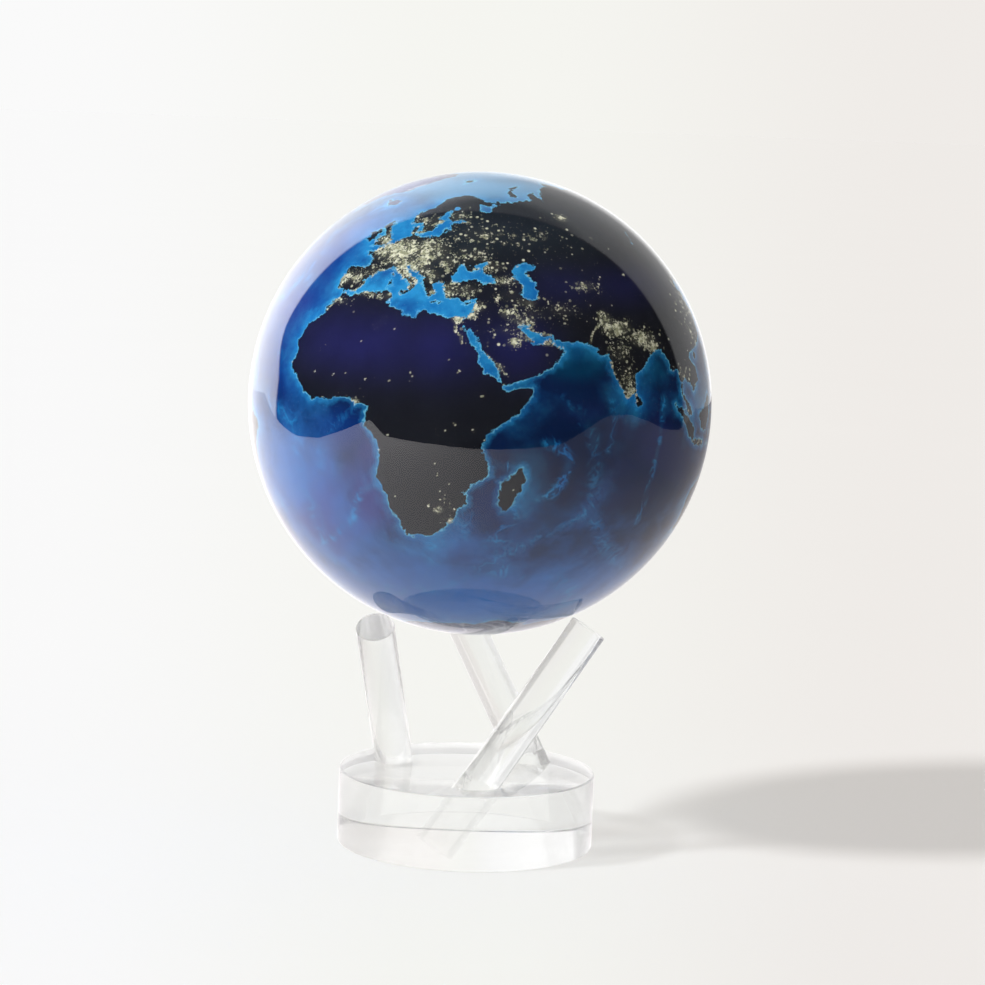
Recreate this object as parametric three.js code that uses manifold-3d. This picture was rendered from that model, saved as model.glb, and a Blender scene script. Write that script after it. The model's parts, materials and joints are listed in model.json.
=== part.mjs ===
// A desktop globe on a clear stand, which turns by itself in the light.
//
// A clear ball rests on three clear rods that lean sideways out of a thick disc.
// The ball holds a thin layer of clear liquid, and a printed globe floats in it.
// Light reaches the solar cells inside the printed globe, and they feed two
// coils that push against a compass magnet, so the printed globe turns.
//
// Millimetres, +Z up, origin at the centre of the disc's underside.

import * as THREE from 'three';
import { mergeVertices } from 'three/addons/utils/BufferGeometryUtils.js';
import Module from 'manifold-3d';

const wasm = await Module();
wasm.setup();

// ---- Driving dimensions ----------------------------------------------------

const GAP = 0.3; // between pieces that touch

const BALL_RADIUS = 57.15; // a 4.5 inch ball
const BALL_WALL = 2.4;
const BALL_CENTRE_HEIGHT = 110.6;
const LIQUID_THICKNESS = 1.35;
const PRINT_WALL = 1.6;
const FILL_HOLE_RADIUS = 3;
const PLUG_INSET = 0.1; // below the ball's outer and inner faces

const DISC_RADIUS = 32;
const DISC_THICKNESS = 18.6;
const DISC_CHAMFER = 0.6;

const ROD_COUNT = 3;
const ROD_RADIUS = 4.75;
const ROD_CHAMFER = 0.3;
const ROD_FOOT_RADIUS = 20; // where a rod's axis leaves the disc's top
const ROD_FIRST_AZIMUTH = 38; // degrees, the back rod's foot
const ROD_LEAN = 35.5; // degrees from upright
const ROD_HEADING = 101.6; // degrees between a foot's outward line and its lean
const ROD_BURIED_DEPTH = 14; // below the disc's top, measured upright

const DECK_THICKNESS = 2;
const MAGNET_SIZE = { x: 26, y: 7, z: 4 };
const CELL_COUNT = 6;
const COIL_RADIUS = 8.2;
const BALLAST_CAP_HEIGHT = 22.6; // heavy enough to match the liquid displaced
const BALLAST_BOND = 0.8; // glue line between the ballast and its shell

// How many sides the round pieces have.
const SIDES = {
  disc: 72, ball: 40, print: 36, ballast: 30, rod: 28, round: 20, stub: 16, hole: 12, screw: 10,
};
const OVERCUT = 1; // how far a cutting tool runs past the face it opens

// ---- Sizes worked out from them --------------------------------------------

const LIQUID_OUTER = BALL_RADIUS - BALL_WALL;
const PRINT_OUTER = LIQUID_OUTER - LIQUID_THICKNESS;
const PRINT_INNER = PRINT_OUTER - PRINT_WALL;

const RING_HALF_HEIGHT = 4;
const RING_WALL = 1.6;
const RING_LEDGE_WIDTH = 6;
const RING_OUTER = Math.sqrt(PRINT_INNER ** 2 - RING_HALF_HEIGHT ** 2) - GAP;
const LEDGE_TOP = DECK_THICKNESS - RING_HALF_HEIGHT;
const DECK_BOTTOM = LEDGE_TOP + GAP;
const DECK_TOP = DECK_BOTTOM + DECK_THICKNESS;
const DECK_RADIUS = RING_OUTER - RING_WALL - GAP;
const DECK_SCREW_REACH = RING_OUTER - (RING_WALL + RING_LEDGE_WIDTH) / 2;

const SCREW = { shank: 1, head: 1.9, headHeight: 1.2, hole: 1.3, slotWidth: 0.5 };
const SCREW_LENGTH = { deck: 3.6, carrier: 5, board: 5, bridge: 4 };
const DECK_SCREW_AZIMUTHS = [30, 150, 270];

const BOARD = { x: 40, y: 28, z: 1.6 };
const STANDOFF_HEIGHT = 5;
const STANDOFF_RADIUS = 2.6;
const BOARD_TOP = DECK_BOTTOM - STANDOFF_HEIGHT - GAP;
const BOARD_BOTTOM = BOARD_TOP - BOARD.z;
const BOARD_SCREW_REACH = BOARD.x / 2 - 4;
const CHIP = { x: 7, y: 6, z: 1.2, east: -6, north: 5 };
const CAPACITOR = { radius: 5, height: 6, east: 7, north: -5 };

const COIL_REACH = 11;
const BOBBIN = { hole: 2.2, core: 3.2, flange: COIL_RADIUS + GAP, height: 6, wall: 0.8 };
const BOBBIN_BOTTOM = DECK_TOP + GAP;

const CRADLE_BOTTOM = BOBBIN_BOTTOM + BOBBIN.height + 2.4;
const CRADLE = { x: 22, y: 10, z: 1.6, hub: 3, hubDrop: 1.2 };
const MAGNET_BOTTOM = CRADLE_BOTTOM + CRADLE.z + GAP;

const BRIDGE = { reach: 20, width: 8, wall: 2, foot: 7 };
const BRIDGE_BOTTOM = DECK_TOP + GAP;
const BRIDGE_PLATE_BOTTOM = MAGNET_BOTTOM + MAGNET_SIZE.z + 4;
const BRIDGE_SCREW_REACH = BRIDGE.reach + BRIDGE.wall + BRIDGE.foot / 2;

const JEWEL = { radius: 2.5, height: 3, pit: 0.9 };
const LOWER_JEWEL_TOP = DECK_TOP + 0.8;
const UPPER_JEWEL_BOTTOM = BRIDGE_PLATE_BOTTOM - 0.8;
const SHAFT_RADIUS = 0.8;
const SHAFT_END_PLAY = 0.15;

const CARRIER = { bottom: 24, top: 42, topReach: 18, reach: 40, wall: 1.6, flange: 4 };
const POST_RADIUS = 2.5;
const POST_REACH = CARRIER.reach;
const POST_BOTTOM = DECK_TOP + GAP;
const POST_TOP = CARRIER.bottom - GAP;
const POST_AZIMUTHS = [90, 210, 330];
const POST_BORE_DEPTH = 6;
const CELL_THICKNESS = 0.6;
const CELL_MARGIN = 1.6;

const LEAD_RADIUS = 0.5;
const LEAD_HOLE = { x: 6, y: 30, radius: 2 };

// ---- Materials -------------------------------------------------------------

function material(color, roughness, metalness, opacity = 1) {
  return new THREE.MeshStandardMaterial({
    color,
    roughness,
    metalness,
    opacity,
    transparent: opacity < 1,
  });
}

const MATERIALS = {
  acrylic: () => material('#e6edf0', 0.05, 0, 0.35),
  print: () => material('#12204a', 0.35, 0),
  whitePlastic: () => material('#d9d9d2', 0.5, 0),
  blackPlastic: () => material('#1c1c1e', 0.5, 0),
  cell: () => material('#141c3a', 0.2, 0.1),
  board: () => material('#1f6b3a', 0.45, 0),
  copper: () => material('#b8683a', 0.35, 0.9),
  brass: () => material('#c2a34f', 0.3, 1),
  steel: () => material('#a9abad', 0.35, 1),
  magnet: () => material('#8f9194', 0.3, 1),
  jewel: () => material('#b8243c', 0.1, 0),
  iron: () => material('#4b4b4d', 0.6, 0.8),
  redLead: () => material('#a8241c', 0.5, 0),
  blackLead: () => material('#202022', 0.5, 0),
};

// ---- Helpers ---------------------------------------------------------------

const radians = THREE.MathUtils.degToRad;

function polar(reach, azimuth, z = 0) {
  const angle = radians(azimuth);
  return new THREE.Vector3(reach * Math.cos(angle), reach * Math.sin(angle), z);
}

function addMesh(parent, name, geometry, finish) {
  const mesh = new THREE.Mesh(geometry, finish());
  mesh.name = name;
  parent.add(mesh);
  return mesh;
}

// A body of revolution about +Z from [reach, z] pairs. The outside of the
// profile runs upward, so its faces point out.
function turned(profile, segments) {
  const points = profile.map(([reach, z]) => new THREE.Vector2(reach, z));
  return new THREE.LatheGeometry(points, segments).rotateX(Math.PI / 2);
}

function closed(profile) {
  return [...profile, profile[0]];
}

function upright(radius, bottom, top, segments) {
  return turned([[0, bottom], [radius, bottom], [radius, top], [0, top]], segments);
}

function box(size, bottom) {
  return new THREE.BoxGeometry(size.x, size.y, size.z).translate(0, 0, bottom + size.z / 2);
}

function toSolid(geometry) {
  const bare = geometry.clone();
  bare.deleteAttribute('normal');
  bare.deleteAttribute('uv');
  const merged = mergeVertices(bare, 1e-4);
  return new wasm.Manifold(new wasm.Mesh({
    numProp: 3,
    vertProperties: new Float32Array(merged.attributes.position.array),
    triVerts: new Uint32Array(merged.index.array),
  }));
}

function toGeometry(solid) {
  const mesh = solid.getMesh();
  const geometry = new THREE.BufferGeometry();
  geometry.setAttribute('position', new THREE.BufferAttribute(mesh.vertProperties, 3));
  geometry.setIndex(new THREE.BufferAttribute(mesh.triVerts, 1));
  geometry.computeVertexNormals();
  return geometry;
}

// `base` with every geometry in `added` joined to it, then every one in `cuts` removed.
function shaped(base, { added = [], cuts = [] }) {
  let solid = toSolid(base);
  for (const extra of added) {
    solid = solid.add(toSolid(extra));
  }
  for (const cut of cuts) {
    solid = solid.subtract(toSolid(cut));
  }
  return toGeometry(solid);
}

function holeAt(x, y, radius, bottom, top) {
  return upright(radius, bottom, top, SIDES.hole).translate(x, y, 0);
}

// ---- Stand -----------------------------------------------------------------

// A rod's axis: its foot on the disc's top, and the way it leans.
function rodAxis(index) {
  const azimuth = ROD_FIRST_AZIMUTH + (index * 360) / ROD_COUNT;
  const foot = polar(ROD_FOOT_RADIUS, azimuth, DISC_THICKNESS);
  const sideways = polar(Math.sin(radians(ROD_LEAN)), azimuth + ROD_HEADING);
  const direction = sideways.setZ(Math.cos(radians(ROD_LEAN)));
  return { foot, direction };
}

// How far up its axis a rod ends, so that its inner rim just meets the ball.
function rodReach({ foot, direction }) {
  const toCentre = new THREE.Vector3(0, 0, BALL_CENTRE_HEIGHT).sub(foot);
  const along = toCentre.dot(direction);
  const aside = Math.sqrt(toCentre.lengthSq() - along ** 2);
  const rimAside = aside - ROD_RADIUS;
  return along - Math.sqrt((BALL_RADIUS + GAP) ** 2 - rimAside ** 2);
}

// A cylinder from `start` to `end`, measured along a rod's axis from its foot.
function alongRod({ foot, direction }, profile, segments) {
  const turn = new THREE.Quaternion().setFromUnitVectors(new THREE.Vector3(0, 0, 1), direction);
  return turned(profile, segments)
    .applyQuaternion(turn)
    .translate(foot.x, foot.y, foot.z);
}

function rodGeometry(axis) {
  const low = -ROD_BURIED_DEPTH / Math.cos(radians(ROD_LEAN));
  const high = rodReach(axis);
  const rim = ROD_RADIUS - ROD_CHAMFER;
  const profile = [
    [0, low],
    [rim, low],
    [ROD_RADIUS, low + ROD_CHAMFER],
    [ROD_RADIUS, high - ROD_CHAMFER],
    [rim, high],
    [0, high],
  ];
  return alongRod(axis, profile, SIDES.rod);
}

function discGeometry(axes) {
  const rim = DISC_RADIUS - DISC_CHAMFER;
  const blank = turned([
    [0, 0],
    [rim, 0],
    [DISC_RADIUS, DISC_CHAMFER],
    [DISC_RADIUS, DISC_THICKNESS - DISC_CHAMFER],
    [rim, DISC_THICKNESS],
    [0, DISC_THICKNESS],
  ], SIDES.disc);
  const low = -ROD_BURIED_DEPTH / Math.cos(radians(ROD_LEAN)) - GAP;
  const high = ROD_RADIUS * 2;
  const radius = ROD_RADIUS + GAP;
  const socket = [[0, low], [radius, low], [radius, high], [0, high]];
  return shaped(blank, { cuts: axes.map((axis) => alongRod(axis, socket, SIDES.rod)) });
}

function makeStand() {
  const stand = new THREE.Group();
  const axes = Array.from({ length: ROD_COUNT }, (_, index) => rodAxis(index));
  addMesh(stand, 'base_disc', discGeometry(axes), MATERIALS.acrylic);
  axes.forEach((axis, index) => {
    addMesh(stand, `support_rod_${index + 1}`, rodGeometry(axis), MATERIALS.acrylic);
  });
  return stand;
}

// ---- Outer ball and printed globe ------------------------------------------

// The arc of a sphere from the seam up to `hole` off the axis.
function sphereArc(radius, hole, steps) {
  const low = Math.asin(GAP / 2 / radius);
  const high = Math.acos(hole / radius);
  return Array.from({ length: steps + 1 }, (_, step) => {
    const angle = low + ((high - low) * step) / steps;
    const reach = step === steps ? hole : radius * Math.cos(angle);
    return [reach, radius * Math.sin(angle)];
  });
}

// An upper half shell, open at the seam and, with a hole, at its pole.
function halfShell(outer, inner, hole, segments, steps) {
  const inside = sphereArc(inner, hole, steps).reverse();
  const outside = sphereArc(outer, hole, steps);
  const profile = [...inside, ...outside];
  return turned(hole > 0 ? closed(profile) : profile, segments);
}

function makeOuterBall() {
  const ball = new THREE.Group();
  const shell = (hole) => halfShell(BALL_RADIUS, LIQUID_OUTER, hole, SIDES.ball, 8);
  addMesh(ball, 'outer_shell_upper', shell(0), MATERIALS.acrylic);
  const lower = addMesh(ball, 'outer_shell_lower', shell(FILL_HOLE_RADIUS), MATERIALS.acrylic);
  lower.rotation.x = Math.PI;
  const low = PLUG_INSET - BALL_RADIUS;
  const plug = upright(FILL_HOLE_RADIUS - GAP, low, -LIQUID_OUTER - PLUG_INSET, SIDES.round);
  addMesh(ball, 'fill_plug', plug, MATERIALS.acrylic);
  return ball;
}

function makePrintedShells(globe) {
  const shell = () => halfShell(PRINT_OUTER, PRINT_INNER, 0, SIDES.print, 7);
  addMesh(globe, 'map_shell_north', shell(), MATERIALS.print);
  const south = addMesh(globe, 'map_shell_south', shell(), MATERIALS.print);
  south.rotation.x = Math.PI;
}

function makeBallast(globe) {
  const radius = PRINT_INNER - BALLAST_BOND;
  const flat = BALLAST_CAP_HEIGHT - radius;
  const topAngle = Math.asin(flat / radius);
  const steps = 7;
  const profile = Array.from({ length: steps + 1 }, (_, step) => {
    const angle = -Math.PI / 2 + ((topAngle + Math.PI / 2) * step) / steps;
    const reach = step === 0 ? 0 : radius * Math.cos(angle);
    return [reach, radius * Math.sin(angle)];
  });
  addMesh(globe, 'ballast_weight', turned([...profile, [0, flat]], SIDES.ballast), MATERIALS.iron);
}

// ---- Fasteners -------------------------------------------------------------

// A slotted screw whose head sits on z = 0 and whose shank points down.
function screwGeometry(length) {
  const blank = turned([
    [0, -length],
    [SCREW.shank, -length],
    [SCREW.shank, 0],
    [SCREW.head, 0],
    [SCREW.head, SCREW.headHeight],
    [0, SCREW.headHeight],
  ], SIDES.screw);
  const slot = box({ x: SCREW.head * 3, y: SCREW.slotWidth, z: SCREW.headHeight },
    SCREW.headHeight / 2);
  return shaped(blank, { cuts: [slot] });
}

function addScrew(parent, name, position, length) {
  const screw = addMesh(parent, name, screwGeometry(length), MATERIALS.steel);
  screw.position.copy(position);
  return screw;
}

// ---- Deck and its ring -----------------------------------------------------

function makeRingAndDeck(globe) {
  const screwSpots = DECK_SCREW_AZIMUTHS.map((azimuth) => polar(DECK_SCREW_REACH, azimuth));
  const ledgeInner = RING_OUTER - RING_WALL - RING_LEDGE_WIDTH;
  const wallInner = RING_OUTER - RING_WALL;
  const ring = turned(closed([
    [RING_OUTER, -RING_HALF_HEIGHT],
    [RING_OUTER, RING_HALF_HEIGHT],
    [wallInner, RING_HALF_HEIGHT],
    [wallInner, LEDGE_TOP],
    [ledgeInner, LEDGE_TOP],
    [ledgeInner, -RING_HALF_HEIGHT],
  ]), SIDES.print);
  const throughHole = ({ x, y }) => holeAt(x, y, SCREW.hole, -2 * RING_HALF_HEIGHT, DECK_TOP + OVERCUT);
  const screwHoles = screwSpots.map(throughHole);
  addMesh(globe, 'joint_ring', shaped(ring, { cuts: screwHoles }), MATERIALS.whitePlastic);

  const plate = upright(DECK_RADIUS, DECK_BOTTOM, DECK_TOP, SIDES.print);
  const standoffs = [-1, 1].map((side) => upright(
    STANDOFF_RADIUS, DECK_BOTTOM - STANDOFF_HEIGHT, DECK_BOTTOM + OVERCUT, SIDES.stub,
  ).translate(side * BOARD_SCREW_REACH, 0, 0));
  const through = (x, y, radius) => holeAt(x, y, radius, DECK_BOTTOM - OVERCUT, DECK_TOP + OVERCUT);
  const standoffBottom = DECK_BOTTOM - STANDOFF_HEIGHT - OVERCUT;
  const cuts = [
    ...screwHoles,
    through(0, 0, JEWEL.radius + GAP),
    ...[-1, 1].map((side) => through(side * LEAD_HOLE.x, LEAD_HOLE.y, LEAD_HOLE.radius)),
    ...[-1, 1].map((side) => through(0, side * BRIDGE_SCREW_REACH, SCREW.hole)),
    ...[-1, 1].map((side) => holeAt(
      side * BOARD_SCREW_REACH, 0, SCREW.hole, standoffBottom, DECK_BOTTOM,
    )),
  ];
  addMesh(globe, 'deck_plate', shaped(plate, { added: standoffs, cuts }), MATERIALS.whitePlastic);

  screwSpots.forEach((spot, index) => {
    const head = spot.clone().setZ(DECK_TOP + GAP);
    addScrew(globe, `deck_screw_${index + 1}`, head, SCREW_LENGTH.deck);
  });
}

// ---- Solar cells and their carrier -----------------------------------------

// A six-sided sloping roof with a flat brim, open underneath.
function carrierGeometry(screwSpots) {
  const { bottom, top, topReach, reach, wall, flange } = CARRIER;
  const brim = reach + flange;
  const roof = turned([
    [0, top - wall],
    [topReach - wall / 2, top - wall],
    [reach - flange - wall, bottom],
    [brim, bottom],
    [brim, bottom + wall],
    [reach - flange, bottom + wall],
    [topReach, top],
    [0, top],
  ], CELL_COUNT);
  const cuts = screwSpots.map(({ x, y }) => holeAt(
    x, y, SCREW.hole, bottom - OVERCUT, bottom + wall + OVERCUT,
  ));
  return shaped(roof, { cuts });
}

// A cell that fills most of one sloping face, thin along its own +Z.
function cellGeometry() {
  const flatness = Math.cos(Math.PI / CELL_COUNT);
  const lowReach = CARRIER.reach - CARRIER.flange;
  const run = (lowReach - CARRIER.topReach) * flatness;
  const rise = CARRIER.top - CARRIER.bottom - CARRIER.wall;
  const slope = Math.hypot(run, rise);
  const halfLow = lowReach / 2 - CELL_MARGIN;
  const halfHigh = (CARRIER.topReach - CELL_MARGIN) / 2;
  const outline = new THREE.Shape();
  outline.moveTo(-halfLow, CELL_MARGIN);
  outline.lineTo(halfLow, CELL_MARGIN);
  outline.lineTo(halfHigh, slope - CELL_MARGIN);
  outline.lineTo(-halfHigh, slope - CELL_MARGIN);
  outline.closePath();
  const geometry = new THREE.ExtrudeGeometry(outline, { depth: CELL_THICKNESS, bevelEnabled: false });
  return geometry
    .translate(0, 0, GAP)
    .rotateX(Math.atan2(rise, run))
    .translate(0, -lowReach * flatness, CARRIER.bottom + CARRIER.wall);
}

function makeSolarRoof(globe) {
  const spots = POST_AZIMUTHS.map((azimuth) => polar(POST_REACH, azimuth));
  addMesh(globe, 'cell_carrier', carrierGeometry(spots), MATERIALS.blackPlastic);
  spots.forEach((spot, index) => {
    const post = shaped(upright(POST_RADIUS, POST_BOTTOM, POST_TOP, SIDES.hole), {
      cuts: [holeAt(0, 0, SCREW.hole, POST_TOP - POST_BORE_DEPTH, POST_TOP + OVERCUT)],
    });
    const mesh = addMesh(globe, `carrier_post_${index + 1}`, post, MATERIALS.brass);
    mesh.position.copy(spot);
    const head = spot.clone().setZ(CARRIER.bottom + CARRIER.wall + GAP);
    addScrew(globe, `carrier_screw_${index + 1}`, head, SCREW_LENGTH.carrier);
  });
  for (let index = 0; index < CELL_COUNT; index += 1) {
    const cell = addMesh(globe, `solar_cell_${index + 1}`, cellGeometry(), MATERIALS.cell);
    cell.rotation.z = ((index + 0.5) * 2 * Math.PI) / CELL_COUNT;
  }
}

// ---- Electronics -----------------------------------------------------------

function makeElectronics(globe) {
  const holes = [-1, 1].map((side) => holeAt(
    side * BOARD_SCREW_REACH, 0, SCREW.hole, BOARD_BOTTOM - OVERCUT, BOARD_TOP + OVERCUT,
  ));
  const board = shaped(box(BOARD, BOARD_BOTTOM), { cuts: holes });
  addMesh(globe, 'circuit_board', board, MATERIALS.board);
  [-1, 1].forEach((side, index) => {
    const spot = new THREE.Vector3(side * BOARD_SCREW_REACH, 0, BOARD_BOTTOM - GAP);
    const screw = addScrew(globe, `board_screw_${index + 1}`, spot, SCREW_LENGTH.board);
    screw.rotation.x = Math.PI;
  });
  const underBoard = BOARD_BOTTOM - GAP;
  const chip = box(CHIP, underBoard - CHIP.z).translate(CHIP.east, CHIP.north, 0);
  addMesh(globe, 'control_chip', chip, MATERIALS.blackPlastic);
  const { radius, height, east, north } = CAPACITOR;
  const can = upright(radius, underBoard - height, underBoard, SIDES.round).translate(east, north, 0);
  addMesh(globe, 'storage_capacitor', can, MATERIALS.blackPlastic);
}

function bobbinGeometry() {
  const { hole, core, flange, height, wall } = BOBBIN;
  return turned(closed([
    [hole, 0],
    [flange, 0],
    [flange, wall],
    [core, wall],
    [core, height - wall],
    [flange, height - wall],
    [flange, height],
    [hole, height],
  ]), SIDES.round);
}

function coilGeometry() {
  const low = BOBBIN.wall + GAP;
  const high = BOBBIN.height - BOBBIN.wall - GAP;
  const inner = BOBBIN.core + GAP;
  return turned(closed([
    [COIL_RADIUS, low],
    [COIL_RADIUS, high],
    [inner, high],
    [inner, low],
  ]), SIDES.round);
}

function makeCoils(globe) {
  [-1, 1].forEach((side, index) => {
    const place = new THREE.Vector3(side * COIL_REACH, 0, BOBBIN_BOTTOM);
    const bobbin = addMesh(globe, `coil_bobbin_${index + 1}`, bobbinGeometry(),
      MATERIALS.whitePlastic);
    const coil = addMesh(globe, `drive_coil_${index + 1}`, coilGeometry(), MATERIALS.copper);
    bobbin.position.copy(place);
    coil.position.copy(place);
  });
}

// ---- Bearings and their bridge ---------------------------------------------

// An upside-down U with a foot on each side, seen along X, and with a bearing
// hole in the middle of its plate.
function bridgeGeometry() {
  const { reach, width, wall, foot } = BRIDGE;
  const outer = reach + wall;
  const toe = outer + foot;
  const base = BRIDGE_BOTTOM;
  const under = BRIDGE_PLATE_BOTTOM;
  const outline = new THREE.Shape();
  outline.moveTo(-toe, base);
  outline.lineTo(-reach, base);
  outline.lineTo(-reach, under);
  outline.lineTo(reach, under);
  outline.lineTo(reach, base);
  outline.lineTo(toe, base);
  outline.lineTo(toe, base + wall);
  outline.lineTo(outer, base + wall);
  outline.lineTo(outer, under + wall);
  outline.lineTo(-outer, under + wall);
  outline.lineTo(-outer, base + wall);
  outline.lineTo(-toe, base + wall);
  outline.closePath();
  const blank = new THREE.ExtrudeGeometry(outline, { depth: width, bevelEnabled: false })
    .translate(0, 0, -width / 2)
    .rotateX(Math.PI / 2)
    .rotateZ(Math.PI / 2);
  const cuts = [
    holeAt(0, 0, JEWEL.radius + GAP, under - OVERCUT, under + wall + OVERCUT),
    ...[-1, 1].map((side) => holeAt(
      0, side * BRIDGE_SCREW_REACH, SCREW.hole, base - OVERCUT, base + wall + OVERCUT,
    )),
  ];
  return shaped(blank, { cuts });
}

// A bearing cup with a conical pit in its top.
function jewelGeometry() {
  const { radius, height, pit } = JEWEL;
  return turned([[0, -height], [radius, -height], [radius, 0], [pit, 0], [0, -pit]], SIDES.stub);
}

function makeBearings(globe) {
  addMesh(globe, 'bearing_bridge', bridgeGeometry(), MATERIALS.brass);
  [-1, 1].forEach((side, index) => {
    const spot = new THREE.Vector3(
      0, side * BRIDGE_SCREW_REACH, BRIDGE_BOTTOM + BRIDGE.wall + GAP,
    );
    addScrew(globe, `bridge_screw_${index + 1}`, spot, SCREW_LENGTH.bridge);
  });
  const lower = addMesh(globe, 'lower_jewel_bearing', jewelGeometry(), MATERIALS.jewel);
  lower.position.z = LOWER_JEWEL_TOP;
  const upper = addMesh(globe, 'upper_jewel_bearing', jewelGeometry(), MATERIALS.jewel);
  upper.rotation.x = Math.PI;
  upper.position.z = UPPER_JEWEL_BOTTOM;
}

// ---- Leads -----------------------------------------------------------------

function lead(points) {
  const route = new THREE.CatmullRomCurve3(points.map((point) => new THREE.Vector3(...point)));
  const section = new THREE.Shape().absarc(0, 0, LEAD_RADIUS, 0, 2 * Math.PI);
  return new THREE.ExtrudeGeometry(section, {
    steps: 14,
    curveSegments: 4,
    extrudePath: route,
  });
}

function makeLeads(globe) {
  const boardTop = BOARD_TOP + GAP + LEAD_RADIUS / 2;
  const aboveDeck = DECK_TOP + LEAD_RADIUS + GAP;
  [-1, 1].forEach((side, index) => {
    const fromCells = lead([
      [side * 8, 20, CARRIER.top - CARRIER.wall - 9],
      [side * 8, 24, 26],
      [side * LEAD_HOLE.x, LEAD_HOLE.y, 8],
      [side * LEAD_HOLE.x, LEAD_HOLE.y, DECK_BOTTOM],
      [side * LEAD_HOLE.x, 24, DECK_BOTTOM - 2.6],
      [side * LEAD_HOLE.x, 12, boardTop],
    ]);
    const finish = side < 0 ? MATERIALS.blackLead : MATERIALS.redLead;
    addMesh(globe, `cell_lead_${index + 1}`, fromCells, finish);
    const fromCoil = lead([
      [side * (COIL_REACH + 2), BOBBIN.flange + 1, BOBBIN_BOTTOM + 2],
      [side * (COIL_REACH + 1), 14, aboveDeck + 1],
      [side * 9, 22, aboveDeck + 0.6],
      [side * 7.2, 29, aboveDeck + 0.4],
    ]);
    addMesh(globe, `coil_lead_${index + 1}`, fromCoil, MATERIALS.copper);
  });
}

// ---- Compass magnet and its shaft ------------------------------------------

function makeRotor() {
  const rotor = new THREE.Group();
  const pitDepth = JEWEL.pit - SHAFT_END_PLAY;
  const low = LOWER_JEWEL_TOP - pitDepth + SHAFT_END_PLAY;
  const high = UPPER_JEWEL_BOTTOM + pitDepth - SHAFT_END_PLAY;
  const shaft = turned([
    [0, low],
    [SHAFT_RADIUS / 4, low + SHAFT_RADIUS / 2],
    [SHAFT_RADIUS, low + SHAFT_RADIUS * 2.5],
    [SHAFT_RADIUS, high - SHAFT_RADIUS * 2.5],
    [SHAFT_RADIUS / 4, high - SHAFT_RADIUS / 2],
    [0, high],
  ], SIDES.hole);
  addMesh(rotor, 'pivot_shaft', shaft, MATERIALS.steel);

  const bore = holeAt(0, 0, SHAFT_RADIUS + GAP, 0, UPPER_JEWEL_BOTTOM);
  const plate = box(CRADLE, CRADLE_BOTTOM);
  const hub = upright(CRADLE.hub, CRADLE_BOTTOM - CRADLE.hubDrop, CRADLE_BOTTOM + OVERCUT, SIDES.stub);
  addMesh(rotor, 'magnet_cradle', shaped(plate, { added: [hub], cuts: [bore] }),
    MATERIALS.brass);
  addMesh(rotor, 'compass_magnet', shaped(box(MAGNET_SIZE, MAGNET_BOTTOM), { cuts: [bore] }),
    MATERIALS.magnet);
  return rotor;
}

// ---- The whole object ------------------------------------------------------

function makeInnerGlobe() {
  const globe = new THREE.Group();
  makePrintedShells(globe);
  makeRingAndDeck(globe);
  makeSolarRoof(globe);
  makeElectronics(globe);
  makeCoils(globe);
  makeBearings(globe);
  makeLeads(globe);
  makeBallast(globe);
  globe.add(makeRotor());
  return globe;
}

const ball = makeOuterBall();
ball.position.z = BALL_CENTRE_HEIGHT;
ball.add(makeInnerGlobe());

const desktopGlobe = new THREE.Group();
desktopGlobe.add(makeStand(), ball);

export default desktopGlobe;
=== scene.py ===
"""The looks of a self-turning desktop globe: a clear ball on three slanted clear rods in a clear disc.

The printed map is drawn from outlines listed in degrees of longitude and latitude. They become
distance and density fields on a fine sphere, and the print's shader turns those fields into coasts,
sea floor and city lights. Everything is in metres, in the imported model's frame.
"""
import json
import math

import bpy
import numpy as np
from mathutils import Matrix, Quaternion, Vector


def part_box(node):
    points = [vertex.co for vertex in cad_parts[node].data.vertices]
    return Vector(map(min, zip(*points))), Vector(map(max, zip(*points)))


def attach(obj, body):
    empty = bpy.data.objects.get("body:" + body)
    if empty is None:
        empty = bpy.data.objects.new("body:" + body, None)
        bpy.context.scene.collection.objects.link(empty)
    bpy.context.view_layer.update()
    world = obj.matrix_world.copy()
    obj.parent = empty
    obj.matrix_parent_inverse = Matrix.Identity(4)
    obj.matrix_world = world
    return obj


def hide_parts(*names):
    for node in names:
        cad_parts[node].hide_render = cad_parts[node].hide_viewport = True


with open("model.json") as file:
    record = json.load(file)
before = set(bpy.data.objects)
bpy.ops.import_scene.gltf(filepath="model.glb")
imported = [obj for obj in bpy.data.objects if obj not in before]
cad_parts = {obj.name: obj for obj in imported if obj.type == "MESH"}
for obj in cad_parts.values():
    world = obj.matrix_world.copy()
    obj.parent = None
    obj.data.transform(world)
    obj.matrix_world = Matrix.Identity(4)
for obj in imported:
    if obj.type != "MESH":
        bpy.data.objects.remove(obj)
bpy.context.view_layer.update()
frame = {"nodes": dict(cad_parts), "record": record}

# ---- Sizes taken from the frame --------------------------------------------------------------

MM = 0.001
BALL_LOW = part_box("outer_shell_lower")[0]
BALL_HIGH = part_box("outer_shell_upper")[1]
BALL_RADIUS = (BALL_HIGH.x - BALL_LOW.x) / 2
CENTRE = Vector((0, 0, BALL_HIGH.z - BALL_RADIUS))
PRINT_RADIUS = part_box("map_shell_north")[1].x
DISC_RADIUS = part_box("base_disc")[1].x
DISC_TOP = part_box("base_disc")[1].z
PLUG_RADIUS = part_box("fill_plug")[1].x

BALL_WALL = 2.4 * MM
PRINT_WALL = 1.6 * MM
ROD_RADIUS = 4.75 * MM
SOCKET_GAP = 0.12 * MM

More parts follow.
